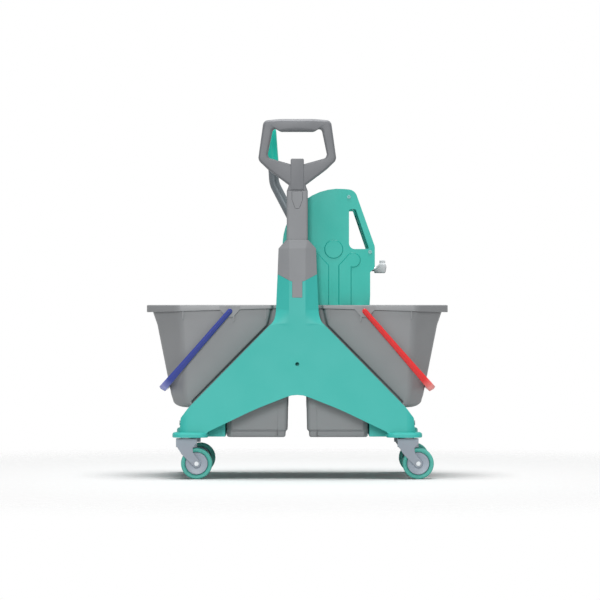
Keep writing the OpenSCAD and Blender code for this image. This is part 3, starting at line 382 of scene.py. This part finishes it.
opening_half = [(6, ELBOW_Z - 14, 4), (GRIP_HALF - 28.5, ELBOW_Z + 4.5, 8),
                (GRIP_HALF - 24.5, ELBOW_Z + 14, 8), (GRIP_HALF - 38, GRIP_TOP - 26, 9),
                (54, GRIP_TOP - 26, 8), (42, GRIP_TOP - 33, 14)]
neck_half = [(POST_HALF, POST_TOP - 1, 0.2), (NECK_HALF, POST_TOP + 12, 8), (NECK_HALF, ELBOW_Z - 32, 6),
             (13, ELBOW_Z - 17, 3)]
strip_half = [(STRIP_HALF, POST_TOP + 2, 2), (STRIP_HALF, ELBOW_Z + 3, 4)]
middle = np.array([0, GRIP_TOP - 62])
angles = np.linspace(0, 2 * np.pi, RING_STEPS, endpoint=False)
rays = np.stack([np.cos(angles), np.sin(angles)], axis=1)
reach_in = polar_outline(opening_half, middle, angles)
reach_out = polar_outline(outer_half, middle, angles)
edge = np.interp(rays[:, 1], [0.3, 0.7], [ARM_EDGE, GRIP_EDGE])
edge = np.minimum(edge, EDGE_SHARE * (reach_out - reach_in))
reach = np.stack([reach_in, reach_out, reach_out, reach_in], axis=1)
depth = np.tile(GRIP_THICK / 2 * np.array([-1, -1, 1, 1]), (RING_STEPS, 1))
loops = rounded(np.stack([reach, depth], axis=-1), np.repeat(edge[:, None], 4, axis=1), SECTION_STEPS)
ring = np.stack([middle[0] + loops[..., 0] * rays[:, None, 0], GRIP_Y + loops[..., 1],
                 middle[1] + loops[..., 0] * rays[:, None, 1]], axis=-1).reshape(-1, 3)
grip_faces = grid_faces(RING_STEPS, loops.shape[1], loop_rows=True)
neck, neck_faces = pillow(mirrored(neck_half), GRIP_FRONT + 0.5, GRIP_BACK - 0.5, 3.0, len(ring))
strip, strip_faces = pillow(mirrored(strip_half), GRIP_FRONT - 1.5, GRIP_BACK - 6, 2.0,
                            len(ring) + len(neck))
made_piece("push_handle_grip", np.vstack([ring, neck, strip]), grip_faces + neck_faces + strip_faces,
           grip_plastic, "push_handle", angle=60)
dress("lock_button", handle_plastic, 1.0)

# Buckets: drafted polypropylene shells with a deep well, a shelf and a turned-down rim.
# The bails are moulded bars on pins, blue for the clean side and red for the dirty one. The shells are
# satin; the bails come from a polished mould and shine, and their corners are painted paler as a painted
# reflection of the white floor.
bucket_plastic = moulded("moulded_polypropylene_bucket_grey", "#8C8E90", "#858789", 0.43, 1.8)
bail_blue = moulded("moulded_polypropylene_blue", "#2E3F96", "#29398E", 0.17, 1.6, grain_depth=0.02)
bail_red = moulded("moulded_polypropylene_red", "#EA2A2B", "#DE2526", 0.17, 1.6, grain_depth=0.02)
BUCKET_WALL = 3.5
RIM_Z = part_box("right_bucket")[1][2] * MM
RIM_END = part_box("right_bucket")[1][0] * MM
RIM_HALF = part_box("right_bucket")[1][1] * MM
WELL_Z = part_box("right_bucket")[0][2] * MM
RIM_UNDER = RIM_Z - 4.5
RIM_IN, RIM_NOTCH, RIM_CHAMFER = 5.0, 15.0, 80.0
SHELF_Z, WALL_TOP = 182.0, 428.0
NOTCH_X, FLUSH, FOOT, LIP, SLANT = 69.0, 0.02, 5.0, 3.0, 1.2
BEND_OUT, BEND_UP = 34.0, 20.0
SHOULDER, LEG_TOP = (70.0, 395.0), (279.0, 183.0)
SLOT, RECESS_CLEAR = 7.0, 16.0
WELL_END, WELL_DRAFT, WELL_STEP, WELL_CORNER = 184.5, 0.03, 26.0, (14, 12)

# How the sizes change with height: heights, then the size at each.
WALL_IN = ([WELL_Z, 210, RIM_Z], [25, 23, 14])
WALL_OUT = ([SHELF_Z, 215, 395, WALL_TOP], [315, RIM_END - 65, RIM_END - 28, RIM_END - 16])
WALL_SIDE = ([SHELF_Z, WALL_TOP], [RIM_HALF - 9, RIM_HALF - 6.5])
WELL_SIDE = ([WELL_Z, SHELF_Z], [124, 129])
NOTCH_DEEP = ([SHELF_Z, SHOULDER[1], WALL_TOP], [11, 15.3, 15])
CHAMFER = ([SHELF_Z, 215, 395, WALL_TOP], [32, 36, 62, 70])
RECESS_X = ([LEG_TOP[1], SHOULDER[1], WALL_TOP], [LEG_TOP[0] + SLOT, SHOULDER[0] + SLOT, NOTCH_X])


def well_ring(z, inset, foot=0.0):
    """One row of the deep well's sizes at a height, with its foot set in on all sides but the outer one."""
    x_in = np.interp(z, *WALL_IN)
    x_out = WELL_END - (SHELF_Z - z) * WELL_DRAFT + foot
    side = np.interp(z, *WELL_SIDE)
    return [x_in, x_out, side, FLUSH, *WELL_CORNER, x_in + WELL_STEP - inset - foot, inset + foot + 0.5]


def wall_ring(z, inset, cut=0.0):
    """One row of the wall's sizes at a height: where the inner and outer ends and the sides stand, how deep
    the notch for the column is, how wide the corner chamfers are, and how far the ring is set in."""
    x_in = np.interp(z, *WALL_IN)
    x_out = np.interp(max(z, SHELF_Z + BEND_UP), *WALL_OUT) - cut
    side = np.interp(z, *WALL_SIDE)
    notch = np.interp(z, *NOTCH_DEEP)
    chamfer = np.interp(z, *CHAMFER)
    recess = min(np.interp(z, *RECESS_X), x_out - chamfer - RECESS_CLEAR)
    return [x_in, x_out, side, notch, chamfer, SLANT * chamfer, recess, inset]


def flat_ring(row):
    """A row of the wall with its sides drawn in to the floor of the recess, where the shelf meets it."""
    return row[:2] + [row[2] - row[3] + FLUSH, FLUSH] + row[4:]


INNER_R, NOTCH_R, CHAMFER_R = 12.0, 6.0, 28.0


def ring_points(rows, steps=9):
    """Each row of wall sizes as a closed ring in plan. The ten corners are laid out, set in along both
    their sides by the row's inset, and rounded."""
    x_in, x_out, side, notch, cx, cy, nx, inset = np.array(rows, dtype=float).T
    half = np.stack([x_in, notch - side, nx, notch - side, nx, -side, x_out - cx, -side, x_out, cy - side],
                    axis=1).reshape(-1, 5, 2)
    corners = np.concatenate([half, half[:, ::-1] * [1, -1]], axis=1)
    small = np.minimum(NOTCH_R, 0.45 * notch)
    radii = np.stack([np.full(len(x_in), INNER_R), small, small, np.minimum(CHAMFER_R, 0.6 * cx),
                      np.minimum(CHAMFER_R, 0.6 * cy)], axis=1)
    radii = np.concatenate([radii, radii[:, ::-1]], axis=1)
    corners, bend = set_in(corners, inset)
    return rounded(corners, np.maximum(0.01, radii - bend * inset[:, None]), steps)


# The shell's rings, in order: up the outside from the well's sole, round the rim and down the inside.
# The soles give a ring's height, its inset and the share of the foot.
rim_row = [RIM_IN, RIM_END, RIM_HALF, RIM_NOTCH, RIM_CHAMFER, SLANT * RIM_CHAMFER, NOTCH_X - 5]
wall_heights = [207, 215, 230, 245, 270, 300, 330, 360, 395, 412, WALL_TOP]
outer_sole = ((0, 4.5, 1), (0.9, 2.2, 1), (2.6, 0.6, 1), (5, 0, 1), (14, 0, 1), (17, 0, 0.5), (20, 0, 0))
inner_sole = ((20, 1, 0), (6, 0, 1), (2, 1.5, 1), (0, 6, 1))
turns = np.radians(np.arange(0, 91, 15))
shelf_bend = [(BEND_UP * (1 - math.cos(a)), BEND_OUT * (1 - math.sin(a))) for a in turns]
rows, levels = [], []


def stack(row, z):
    """Adds one ring to the bucket's wall, with its height."""
    rows.append(row)
    levels.append(z)


for z, inset, foot in outer_sole:
    stack(well_ring(WELL_Z + z, inset, foot * FOOT), WELL_Z + z)
stack(well_ring(SHELF_Z, 0), SHELF_Z)
stack(flat_ring(wall_ring(SHELF_Z, 0, BEND_OUT)), SHELF_Z)
for rise, cut in shelf_bend:
    stack(wall_ring(SHELF_Z + rise, 0, cut), SHELF_Z + rise)
for z in wall_heights:
    stack(wall_ring(z, 0), z)
stack(wall_ring(RIM_Z, 0), RIM_UNDER)
stack(rim_row + [LIP], RIM_UNDER)
lip_first = len(levels)
stack(rim_row + [LIP], 0)
stack(rim_row + [LIP - 1], -0.8)
stack(rim_row + [1.0], -0.8)
stack(rim_row + [0.0], 0)
lip_last = len(levels)
for z, inset in ((-2.2, 0), (-1.2, 0.3), (-0.4, 1.0), (0, 2.2)):
    stack(rim_row + [inset], RIM_Z + z)
for z, inset in ((0, -1.2), (-0.4, 0.1), (-1.4, 0)):
    stack(wall_ring(RIM_Z, BUCKET_WALL + inset), RIM_Z + z)
for z in wall_heights[::-1]:
    stack(wall_ring(z, BUCKET_WALL), z)
for rise, cut in shelf_bend[::-1]:
    stack(wall_ring(SHELF_Z + rise, BUCKET_WALL, cut), SHELF_Z + BUCKET_WALL + rise)
stack(flat_ring(wall_ring(SHELF_Z, BUCKET_WALL, BEND_OUT)), SHELF_Z + BUCKET_WALL)
stack(well_ring(SHELF_Z, BUCKET_WALL), SHELF_Z + BUCKET_WALL)
stack(well_ring(SHELF_Z, BUCKET_WALL + 1), SHELF_Z + BUCKET_WALL - 2)
for z, inset, foot in inner_sole:
    stack(well_ring(WELL_Z + z, BUCKET_WALL + inset, foot * FOOT), WELL_Z + BUCKET_WALL + z)
plan = ring_points(rows)
height = np.repeat(np.array(levels)[:, None], plan.shape[1], axis=1)
# The turned-down lip hangs lower towards the outer end.
hang = RIM_Z - np.interp(plan[..., 0], [NOTCH_X, RIM_END], [8.5, 18])
height[lip_first:lip_last] += hang[lip_first:lip_last]
shell = np.concatenate([plan, height[..., None]], axis=-1)
count, across = plan.shape[:2]
shell_faces = grid_faces(count, across)
shell_faces += [list(range(across))[::-1], list(range((count - 1) * across, count * across))]


def slab(outline, y_low, y_high, start):
    """An outline in X and Z drawn out along Y: two caps and the side quads, numbered from start."""
    line = np.asarray(outline, dtype=float)
    k = len(line)
    near = np.column_stack([line[:, 0], np.full(k, y_low), line[:, 1]])
    far = np.column_stack([line[:, 0], np.full(k, y_high), line[:, 1]])
    ring = np.arange(k)
    after = np.roll(ring, -1)
    sides = np.stack([ring + k, after + k, after, ring], axis=1) + start
    caps = [(ring + start).tolist(), (ring[::-1] + k + start).tolist()]
    return np.vstack([near, far]), sides.tolist() + caps


def oblong(x_low, x_high, z_low, z_high):
    """The corners of an upright oblong in X and Z."""
    return np.array([[x_low, z_low], [x_high, z_low], [x_high, z_high], [x_low, z_high]])


# Under the rim each long side carries the tab with the bail's pivot, two short ribs, and inside two
# pads that the press hangs from.
BAIL_X, BAIL_Z = 173.673, 430.0
TAB_PROUD, RIB_HALF = 0.3, 1.5
tab_corners = np.array([[BAIL_X - 9, BAIL_Z - 15], [BAIL_X + 9, BAIL_Z - 15], [BAIL_X + 27, BAIL_Z + 6],
                        [BAIL_X + 27, RIM_Z - 3], [BAIL_X - 27, RIM_Z - 3], [BAIL_X - 27, BAIL_Z + 6]])
tab = rounded(tab_corners, np.array([3, 3, 2, 0.2, 0.2, 2.0]), 5)
bucket_points, bucket_faces = [shell.reshape(-1, 3)], list(shell_faces)
gusset = np.array([[BAIL_X - 12, BAIL_Z - 26], [BAIL_X - 9.5, BAIL_Z - 26], [BAIL_X - 8, BAIL_Z - 13],
                   [BAIL_X - 12, BAIL_Z - 11]])
extras = [(tab, RIM_HALF - 3, RIM_HALF + TAB_PROUD), (gusset, RIM_HALF - 7, RIM_HALF - 0.5)]
for x in (NOTCH_X + 13, RIM_END - 97):
    rib = oblong(x - RIB_HALF, x + RIB_HALF, RIM_Z - 36, RIM_Z - 6)
    extras.append((rib, RIM_HALF - 7, RIM_HALF - 1))
for low, high in ((88, 108), (150, 170)):
    pad = oblong(low, high, RIM_Z - 20, RIM_Z - 8)
    extras.append((pad, RIM_HALF - 13, RIM_HALF - 7))
for outline, near, far in extras:
    for y_low, y_high in ((-far, -near), (near, far)):
        points, faces = slab(outline, y_low, y_high, sum(map(len, bucket_points)))
        bucket_points.append(points)
        bucket_faces += faces
bucket_points = np.vstack(bucket_points)
mirrored_faces = [face[::-1] for face in bucket_faces]

# A bail is one moulded bar: down the front arm, round the corner, along the crossbar and up the rear arm,
# with a low ridge along its outer face, and a pin at each end.
HANG = math.radians(49)
BAIL_LEN, BAIL_REACH = 267.0, 251.0
ARM_IN, ARM_OUT = RIM_HALF + 1, RIM_HALF + 8
CORNER_OUT, CORNER_IN = 14.0, 5.0
PIN_R, PIN_DEEP, BAIL_TIP = 4.0, 6.0, 7.2
BAIL_HALF = (BAIL_LEN * np.array([0, 0.5, 0.75, 1]), [6.6, 7.4, 8.4, 9.5])
SECTION_ACROSS = np.array([-0.92, -1, -1, -0.94, 0.22, 0.3, 0.38, 0.94, 1, 1, 0.92])
SECTION_DEEP = np.array([0, 0, 3.4, 2.5, 0.16, 0, 0.16, 1.9, 2.9, 0, 0])
INNER_FACE, INNER_EDGE, EDGE_CUT = [0, 10], [1, 9], 0.7
# The corners are painted paler as a painted reflection of the white floor; these set where that starts
# along the arm and how far it fades along the crossbar.
PALE_FROM, PALE_RUN = 246.0, 12.0
PALE_IN, PALE_FADE = 16.0, 8.0


def bail_bar():
    """The bar between an outer and an inner line in the plane of the arms: at each station the section
    is set out from the outer line, as shares of the half width across it and millimetres in from it.
    The third result is each point's share of painted reflection, which is 1 at the outside of the corners."""
    tip = np.linspace(0.05, np.pi / 2, 9)[:-1]
    arm = np.linspace(0, 1, 14)
    turn = np.linspace(0, np.pi / 2, 11)[1:]
    lines = []
    for far, side, round_off in ((BAIL_LEN, ARM_OUT, CORNER_OUT), (BAIL_REACH, ARM_IN, CORNER_IN)):
        along = np.concatenate([-BAIL_TIP * np.cos(tip), arm * (far - round_off),
                                far - round_off * (1 - np.sin(turn)), [far]])
        y = np.concatenate([0 * tip, 0 * arm, round_off * (1 - np.cos(turn)), [side]]) - side
        half = np.stack([along, y], axis=1)
        lines.append(np.vstack([half, half[-2::-1] * [1, -1]]))
    outer, inner = lines
    wide = np.interp(outer[:, 0], *BAIL_HALF)
    wide = wide * np.sqrt(np.clip(1 - (np.minimum(outer[:, 0], 0) / BAIL_TIP) ** 2, 0, 1))
    deep = np.linalg.norm(inner - outer, axis=1)
    inwards = (inner - outer) / deep[:, None]
    depth = SECTION_DEEP + 0 * deep[:, None]
    depth[:, INNER_FACE] = deep[:, None]
    depth[:, INNER_EDGE] = deep[:, None] - EDGE_CUT
    u = outer[:, :1] + inwards[:, :1] * depth
    y = outer[:, 1:] + inwards[:, 1:] * depth
    v = wide[:, None] * SECTION_ACROSS
    bar = np.stack([BAIL_X + u * math.cos(HANG) + v * math.sin(HANG), y,
                    BAIL_Z - u * math.sin(HANG) + v * math.cos(HANG)], axis=-1)
    rows, columns = v.shape
    faces = [face[::-1] for face in grid_faces(rows, columns)]
    faces += [list(range(columns)), list(range((rows - 1) * columns, rows * columns))[::-1]]
    points = [bar.reshape(-1, 3)]
    circle = np.linspace(0, 2 * np.pi, 24, endpoint=False)
    pin = np.stack([BAIL_X + PIN_R * np.cos(circle), BAIL_Z + PIN_R * np.sin(circle)], axis=1)
    for y_low, y_high in ((-ARM_IN - 1, PIN_DEEP - RIM_HALF), (RIM_HALF - PIN_DEEP, ARM_IN + 1)):
        pin_points, pin_faces = slab(pin, y_low, y_high, sum(map(len, points)))
        points.append(pin_points)
        faces += pin_faces
    # Painted reflection: 1 round the far corners, fading up the arm and along the crossbar.
    low = np.clip((outer[:, 0] - PALE_FROM) / PALE_RUN, 0, 1)
    sideways = np.clip((np.abs(outer[:, 1]) - ARM_OUT + PALE_IN) / PALE_FADE, 0, 1)
    painted_reflection = np.concatenate([np.repeat(low * sideways, columns), np.zeros(4 * len(pin))])
    return np.vstack(points), faces, painted_reflection


def paint_floor_reflection(material, pale):
    """Mixes a paler tone into the base colour by the piece's painted_reflection attribute: a painted
    reflection of the white floor on the bail's corners.
    """
    tree = material.node_tree
    shader = tree.nodes["Principled BSDF"]
    painted_reflection = add(tree, "ShaderNodeAttribute", attribute_name="painted_reflection")
    mix = add(tree, "ShaderNodeMix", {"Factor": painted_reflection.outputs["Fac"]}, data_type="RGBA")
    tree.links.new(shader.inputs["Base Color"].links[0].from_socket, mix.inputs["A"])
    mix.inputs["B"].default_value = linear(pale)
    tree.links.new(mix.outputs["Result"], shader.inputs["Base Color"])


# The bails' corners are painted in a paler tone: a painted reflection of the white floor.
paint_floor_reflection(bail_blue, "#8C8FC4")
paint_floor_reflection(bail_red, "#E8908C")
bail_points, bail_faces, bail_painted_reflection = bail_bar()
mirrored_bail = [face[::-1] for face in bail_faces]
for side, hand, bail, shell_quads, bail_quads in (("left", -1, bail_blue, mirrored_faces, mirrored_bail),
                                                  ("right", 1, bail_red, bucket_faces, bail_faces)):
    made_piece(f"{side}_bucket_shell", bucket_points * [hand, 1, 1], shell_quads, bucket_plastic,
               f"{side}_bucket", angle=35, edge_mm=0.6)
    bar = made_piece(f"{side}_bail_bar", bail_points * [hand, 1, 1], bail_quads, bail,
                     f"{side}_bail", angle=50)
    bar.data.attributes.new("painted_reflection", "FLOAT", "POINT").data.foreach_set("value", bail_painted_reflection)

# Press: hollow polypropylene cheeks with flat liners hold the drain trough, the pressing plates and a
# carrying bar, and are screwed together. The cheeks are a satin, greener teal; the slopes of their raised
# edges are polished and painted a darker teal as painted shade. The acetal plates are smooth and pale.
press_plastic = moulded("moulded_polypropylene_press_teal", "#29BAAC", "#23B4A5", 0.48, 1.8)
# Painted shade: the relief slopes take a darker teal than the cheeks, with a glossier finish.
relief_painted_shade = moulded("moulded_polypropylene_press_teal_painted_shade_edge", "#23AA9D", "#1EA396", 0.24, 1.8)
plate_plastic = moulded("moulded_acetal_pale_grey", "#A9ADB2", "#A0A4AA", 0.36, 1.6)

# The sloping side of the carrying hole opens towards the cheek's face, for the fingers behind the bar.
CHEEK_FACE = 116.5
HOLE_LOW, HOLE_HIGH = np.array([181.0, 590.5]), np.array([146.1, 693.5])
HOLE_FLARE, SKIN_DEEP = 4.6, 6.0
SIDE_FROM, SIDE_TO, WALL_BEHIND = -0.05, 1.06, 4.6
SIDE_INNER = ([0.06, 0.07, 0.93, 0.94], [-4.3, -0.6, -0.6, -3.1])


def hole_flare(x, y, z):
    """How far along X a corner of the cheek moves: the flare for corners near the face whose place on the
    hole's side, t along it and n out of the hole, lies on the side, its round ends or the wall behind."""
    run = HOLE_HIGH - HOLE_LOW
    away = np.array([x, z]) - HOLE_LOW
    t = away @ run / (run @ run)
    n = (away[0] * run[1] - away[1] * run[0]) / np.hypot(*run)
    inner = np.interp(t, *SIDE_INNER)
    near = abs(y) > CHEEK_FACE - SKIN_DEEP and SIDE_FROM < t < SIDE_TO and inner < n < WALL_BEHIND
    return HOLE_FLARE if near else 0.0


for node in ("front_cheek", "rear_cheek"):
    dress(node, press_plastic, 0.9, angle=30, segments=3, drift=hole_flare)

# The raised strips and the pivot boss slope down to the cheek's face all round; the strips run on
# below the rim. The slopes are painted a darker teal: painted shade along the raised edges.
RELIEF, RELIEF_RUN, RELIEF_LIFT, SLOPE_ROWS = 2.2, 2.6, 0.05, 8
PIVOT, BOSS_R = np.array([94.0, 590.0]), 22.0
LOBE, LOBE_R = np.array([50.0, 562.0]), 17.0
STRIP_IN, STRIP_OUT, STRIP_FOOT, FEET_TOP = 14.5, 43.5, 445.5, 453.0


def relief_edge(line, end):
    """The slope beside a raised panel along a line in X and Z that has the panel on its left: rows t move
    out by run t and fall with (1 + cos(pi t)) / 2, from the panel's face to the cheek's."""
    way = np.gradient(line, axis=0)
    way = way / np.linalg.norm(way, axis=1, keepdims=True)
    out = np.stack([way[:, 1], -way[:, 0]], axis=1)
    t = np.linspace(0, 1, SLOPE_ROWS)[:, None]
    x = line[None, :, 0] + RELIEF_RUN * t * out[None, :, 0]
    z = line[None, :, 1] + RELIEF_RUN * t * out[None, :, 1]
    y = end * (CHEEK_FACE + RELIEF_LIFT + RELIEF * (1 + np.cos(np.pi * t)) / 2) + 0 * x
    return np.stack([x, y, z], axis=-1)


lobe = np.radians(np.linspace(-112.5, 152.7, 60))[:, None]
strip_line = np.vstack([np.linspace([STRIP_OUT, STRIP_FOOT], [STRIP_OUT, 544], 40),
                        LOBE + LOBE_R * np.hstack([np.cos(lobe), np.sin(lobe)]),
                        np.linspace([33.5, 568.3], [15.5, 549.1], 12),
                        np.linspace([STRIP_IN, 547], [STRIP_IN, STRIP_FOOT], 40)])
strip_line = strip_line + [PIVOT[0], 0]
mirror_line = (strip_line * [-1, 1] + [2 * PIVOT[0], 0])[::-1]
around = np.linspace(0, 2 * np.pi, 73)[:, None]
boss_line = PIVOT + BOSS_R * np.hstack([np.cos(around), np.sin(around)])
for node, end in (("front_cheek", -1), ("rear_cheek", 1)):
    relief_points, relief_faces = [], []
    for line in (strip_line, mirror_line, boss_line):
        slope = relief_edge(line, end)
        faces = grid_faces(*slope.shape[:2], loop_columns=False, start=sum(map(len, relief_points)))
        relief_points.append(slope.reshape(-1, 3))
        relief_faces += [face[::-1] for face in faces] if end > 0 else faces
    made_piece(f"{node}_relief", np.vstack(relief_points), relief_faces, relief_painted_shade, node)
    feet = np.vstack([oblong(low, high, STRIP_FOOT, FEET_TOP)
                      for low, high in ((STRIP_IN, STRIP_OUT), (-STRIP_OUT, -STRIP_IN))])
    feet_y = np.full(len(feet), end * (CHEEK_FACE + RELIEF + RELIEF_LIFT))
    feet = np.column_stack([PIVOT[0] + feet[:, 0], feet_y, feet[:, 1]])
    feet_faces = [[0, 1, 2, 3][::-end], [4, 5, 6, 7][::-end]]
    made_piece(f"{node}_strip_feet", feet, feet_faces, press_plastic, node)
for node in ("front_liner", "rear_liner", "press_trough", "carry_bar"):
    dress(node, press_plastic, 1.0, angle=40)
for node in ("fixed_jaw", "moving_jaw", "shaft_bushes", "front_sector", "rear_sector",
             "front_rack", "rear_rack"):
    dress(node, plate_plastic, 0.5, angle=40)
dress("return_spring", axle_steel, 0.0, angle=60)
cheek_screw_steel = brushed("passivated_screw_steel", "#6FA5A2", 0.45, 1.0, metallic=0.3)
dress("cheek_screws", cheek_screw_steel, 0.4)

# Lever: a steel yoke on two stub shafts carries the bent drawn tube and its moulded grip. The zinc coat
# gives the steel a dull grey sheen with faint drawn lines; the grip is a brighter, satin teal.
lever_steel = brushed("satin_zinc_coated_steel_tube", "#70777C", 0.42, 0.8, metallic=0.35)
lever_plastic = moulded("moulded_polypropylene_grip_teal", "#12D3BD", "#0FC9B3", 0.46, 1.4)
dress("lever_yoke", lever_steel, 1.0, angle=40)


def carried(path, ways, radius, sides):
    """A round section carried along a path in the XZ plane: at each point, a circle square to the way
    (dx, dz), x = px + r cos(t) dz, y = r sin(t), z = pz - r cos(t) dx."""
    turn = np.linspace(0, 2 * np.pi, sides, endpoint=False)
    wide = np.asarray(radius).reshape(-1, 1) * np.cos(turn)
    deep = np.asarray(radius).reshape(-1, 1) * np.sin(turn)
    x = path[:, 0, None] + wide * ways[:, 1, None]
    z = path[:, 1, None] - wide * ways[:, 0, None]
    return np.stack([x, deep, z], axis=-1)


# The tube leaves the yoke's socket leaning back, bends to near upright, and ends inside the grip.
TUBE_R, TUBE_WALL, TUBE_SIDES = 13.0, 1.6, 48
BEND_R, BEND_STEPS = 60.0, 14
ELBOW_AT, SOCKET_DEEP, GRIP_OVER = 148.0, 7.0, 16.0
LEAN = math.radians(27.5)
SOCKET = np.array([8.0, 632.0])
GRIP_END = np.array([-69.0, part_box("lever_grip")[1][2] * MM - GRIP_OVER])
low_way = np.array([-math.sin(LEAN), math.cos(LEAN)])
elbow = SOCKET + ELBOW_AT * low_way
high_way = (GRIP_END - elbow) / np.linalg.norm(GRIP_END - elbow)
bend_turn = math.acos(float(low_way @ high_way))
bend_start = elbow - BEND_R * math.tan(bend_turn / 2) * low_way
inward = np.array([low_way[1], -low_way[0]])
swing = np.linspace(0, bend_turn, BEND_STEPS)[:, None]
bend_path = bend_start + BEND_R * (inward * (1 - np.cos(swing)) + low_way * np.sin(swing))
bend_ways = low_way * np.cos(swing) + inward * np.sin(swing)
tube_path = np.vstack([SOCKET - SOCKET_DEEP * low_way, bend_path, GRIP_END])
tube_ways = np.vstack([low_way, bend_ways, high_way])
tube_path = np.vstack([tube_path, tube_path[::-1]])
tube_ways = np.vstack([tube_ways, tube_ways[::-1]])
tube_radii = np.repeat([TUBE_R, TUBE_R - TUBE_WALL], len(tube_path) // 2)
tube = carried(tube_path, tube_ways, tube_radii, TUBE_SIDES)
tube_faces = grid_faces(len(tube_path), TUBE_SIDES, loop_rows=True)
made_piece("lever_tube_bent", tube.reshape(-1, 3), tube_faces, lever_steel, "lever_tube", angle=50)
dress("stub_shafts", lever_steel, 0.5, angle=40)
dress("lever_grip", lever_plastic, 0.4, angle=40)

# Adjuster: a moulded acetal knob with a thumb tab, pressed onto a steel spindle. Acetal is dense and
# white, with a soft sheen. The outlines are corners (x, z, radius).
knob_plastic = moulded("moulded_acetal_knob_white", "#D6D8DA", "#CED0D3", 0.5, 1.6)
knob_body = [(200.6, 529.2, 3), (230, 529.2, 4), (233, 546, 3), (229.9, 554.4, 3), (214.5, 554.4, 2),
             (201.4, 540, 2)]
knob_tab = [(214.5, 549, 0.5), (229.5, 549, 0.5), (229.5, 563, 2.5), (214.5, 563, 2.5)]
KNOB_HALF, KNOB_EDGE = 10.5, 3.5
TAB_HALF, TAB_EDGE = 4.5, 1.5
body, body_faces = pillow(np.array(knob_body), -KNOB_HALF, KNOB_HALF, KNOB_EDGE, 0)
tab, tab_faces = pillow(np.array(knob_tab), -TAB_HALF, TAB_HALF, TAB_EDGE, len(body))
made_piece("pressure_knob_cap", np.vstack([body, tab]), body_faces + tab_faces, knob_plastic,
           "pressure_knob", angle=50)
dress("pressure_spindle", axle_steel, 0.3)

# Studio: a white floor that keeps the shadow and fades into the white backdrop further out, an
# overhead softbox that lights floor and object, and a frontal key for the object alone.
FLOOR_SIZE, FADE_FROM, FADE_TO = 6.0, 0.7, 1.8
floor_mesh = bpy.data.meshes.new("floor")
floor_mesh.from_pydata([(-FLOOR_SIZE, -FLOOR_SIZE, 0), (FLOOR_SIZE, -FLOOR_SIZE, 0),
                        (FLOOR_SIZE, FLOOR_SIZE, 0), (-FLOOR_SIZE, FLOOR_SIZE, 0)], [], [(0, 1, 2, 3)])
floor_paint = bpy.data.materials.new("white_floor_paint")
floor_paint.use_nodes = True
floor_tree = floor_paint.node_tree
floor_shader = floor_tree.nodes["Principled BSDF"]
floor_shader.inputs["Base Color"].default_value = (0.93, 0.93, 0.93, 1)
floor_shader.inputs["Roughness"].default_value = 0.9
floor_shader.inputs["Specular IOR Level"].default_value = 0.0
floor_place = add(floor_tree, "ShaderNodeTexCoord")
floor_far = add(floor_tree, "ShaderNodeVectorMath", {0: floor_place.outputs["Object"]}, operation="LENGTH")
floor_fade = add(floor_tree, "ShaderNodeMapRange", {"Value": floor_far.outputs["Value"]},
                 {"From Min": FADE_FROM, "From Max": FADE_TO}, interpolation_type="SMOOTHSTEP")
floor_clear = add(floor_tree, "ShaderNodeBsdfTransparent")
floor_mix = add(floor_tree, "ShaderNodeMixShader",
                {0: floor_fade.outputs["Result"], 1: floor_shader.outputs["BSDF"],
                 2: floor_clear.outputs["BSDF"]})
floor_tree.links.new(floor_mix.outputs["Shader"], floor_tree.nodes["Material Output"].inputs["Surface"])
floor_mesh.materials.append(floor_paint)
floor = bpy.data.objects.new("floor", floor_mesh)
bpy.context.scene.collection.objects.link(floor)

# The camera, clear pieces and glossy faces see a white backdrop; everything else gets a weak sky.
SKY_LIGHT = 0.2
scene = bpy.context.scene
scene.view_settings.view_transform = "Standard"
world = bpy.data.worlds.new("pale_sky")
scene.world = world
world.use_nodes = True
sky = world.node_tree
backdrop = sky.nodes["Background"]
backdrop.inputs["Color"].default_value = (1, 1, 1, 1)
ray = add(sky, "ShaderNodeLightPath")
clear = add(sky, "ShaderNodeMath", {0: ray.outputs["Is Camera Ray"], 1: ray.outputs["Is Transmission Ray"]},
            operation="MAXIMUM")
seen = add(sky, "ShaderNodeMath", {0: clear.outputs[0], 1: ray.outputs["Is Glossy Ray"]},
           operation="MAXIMUM")
level = add(sky, "ShaderNodeMapRange", {"Value": seen.outputs[0]}, {"To Min": SKY_LIGHT, "To Max": 1.0})
sky.links.new(level.outputs["Result"], backdrop.inputs["Strength"])


def softbox(name, place, aim, size, power):
    """A square area lamp of the given size and power at a place, turned so that it faces the aim."""
    lamp = bpy.data.lights.new(name, "AREA")
    lamp.shape = "SQUARE"
    lamp.size = size
    lamp.energy = power
    stand = bpy.data.objects.new(name, lamp)
    stand.location = place
    away = np.array(place) - np.array(aim)
    flat = math.hypot(away[0], away[1])
    stand.rotation_euler = (math.atan2(flat, away[2]), 0, math.atan2(away[0], -away[1]))
    scene.collection.objects.link(stand)
    return stand


softbox("overhead", (0, -0.3, 4.2), (0, 0, 0.2), 2.6, 175)
key = softbox("key_front", (-0.4, -5.5, 2.0), (0, 0, 0.4), 1.6, 140)
lit_by_key = bpy.data.collections.new("lit_by_key")
for piece in scene.objects:
    if piece.type == "MESH" and piece is not floor:
        lit_by_key.objects.link(piece)
key.light_linking.receiver_collection = lit_by_key

CAMERA_PLACE = (0.007, -8.84, 0.459)
lens = bpy.data.cameras.new("photo_camera")
lens.sensor_width = 36
lens.lens = 203
camera = bpy.data.objects.new("photo_camera", lens)
camera.location = CAMERA_PLACE
camera.rotation_euler = (math.radians(90), 0, 0)
scene.collection.objects.link(camera)
scene.camera = camera
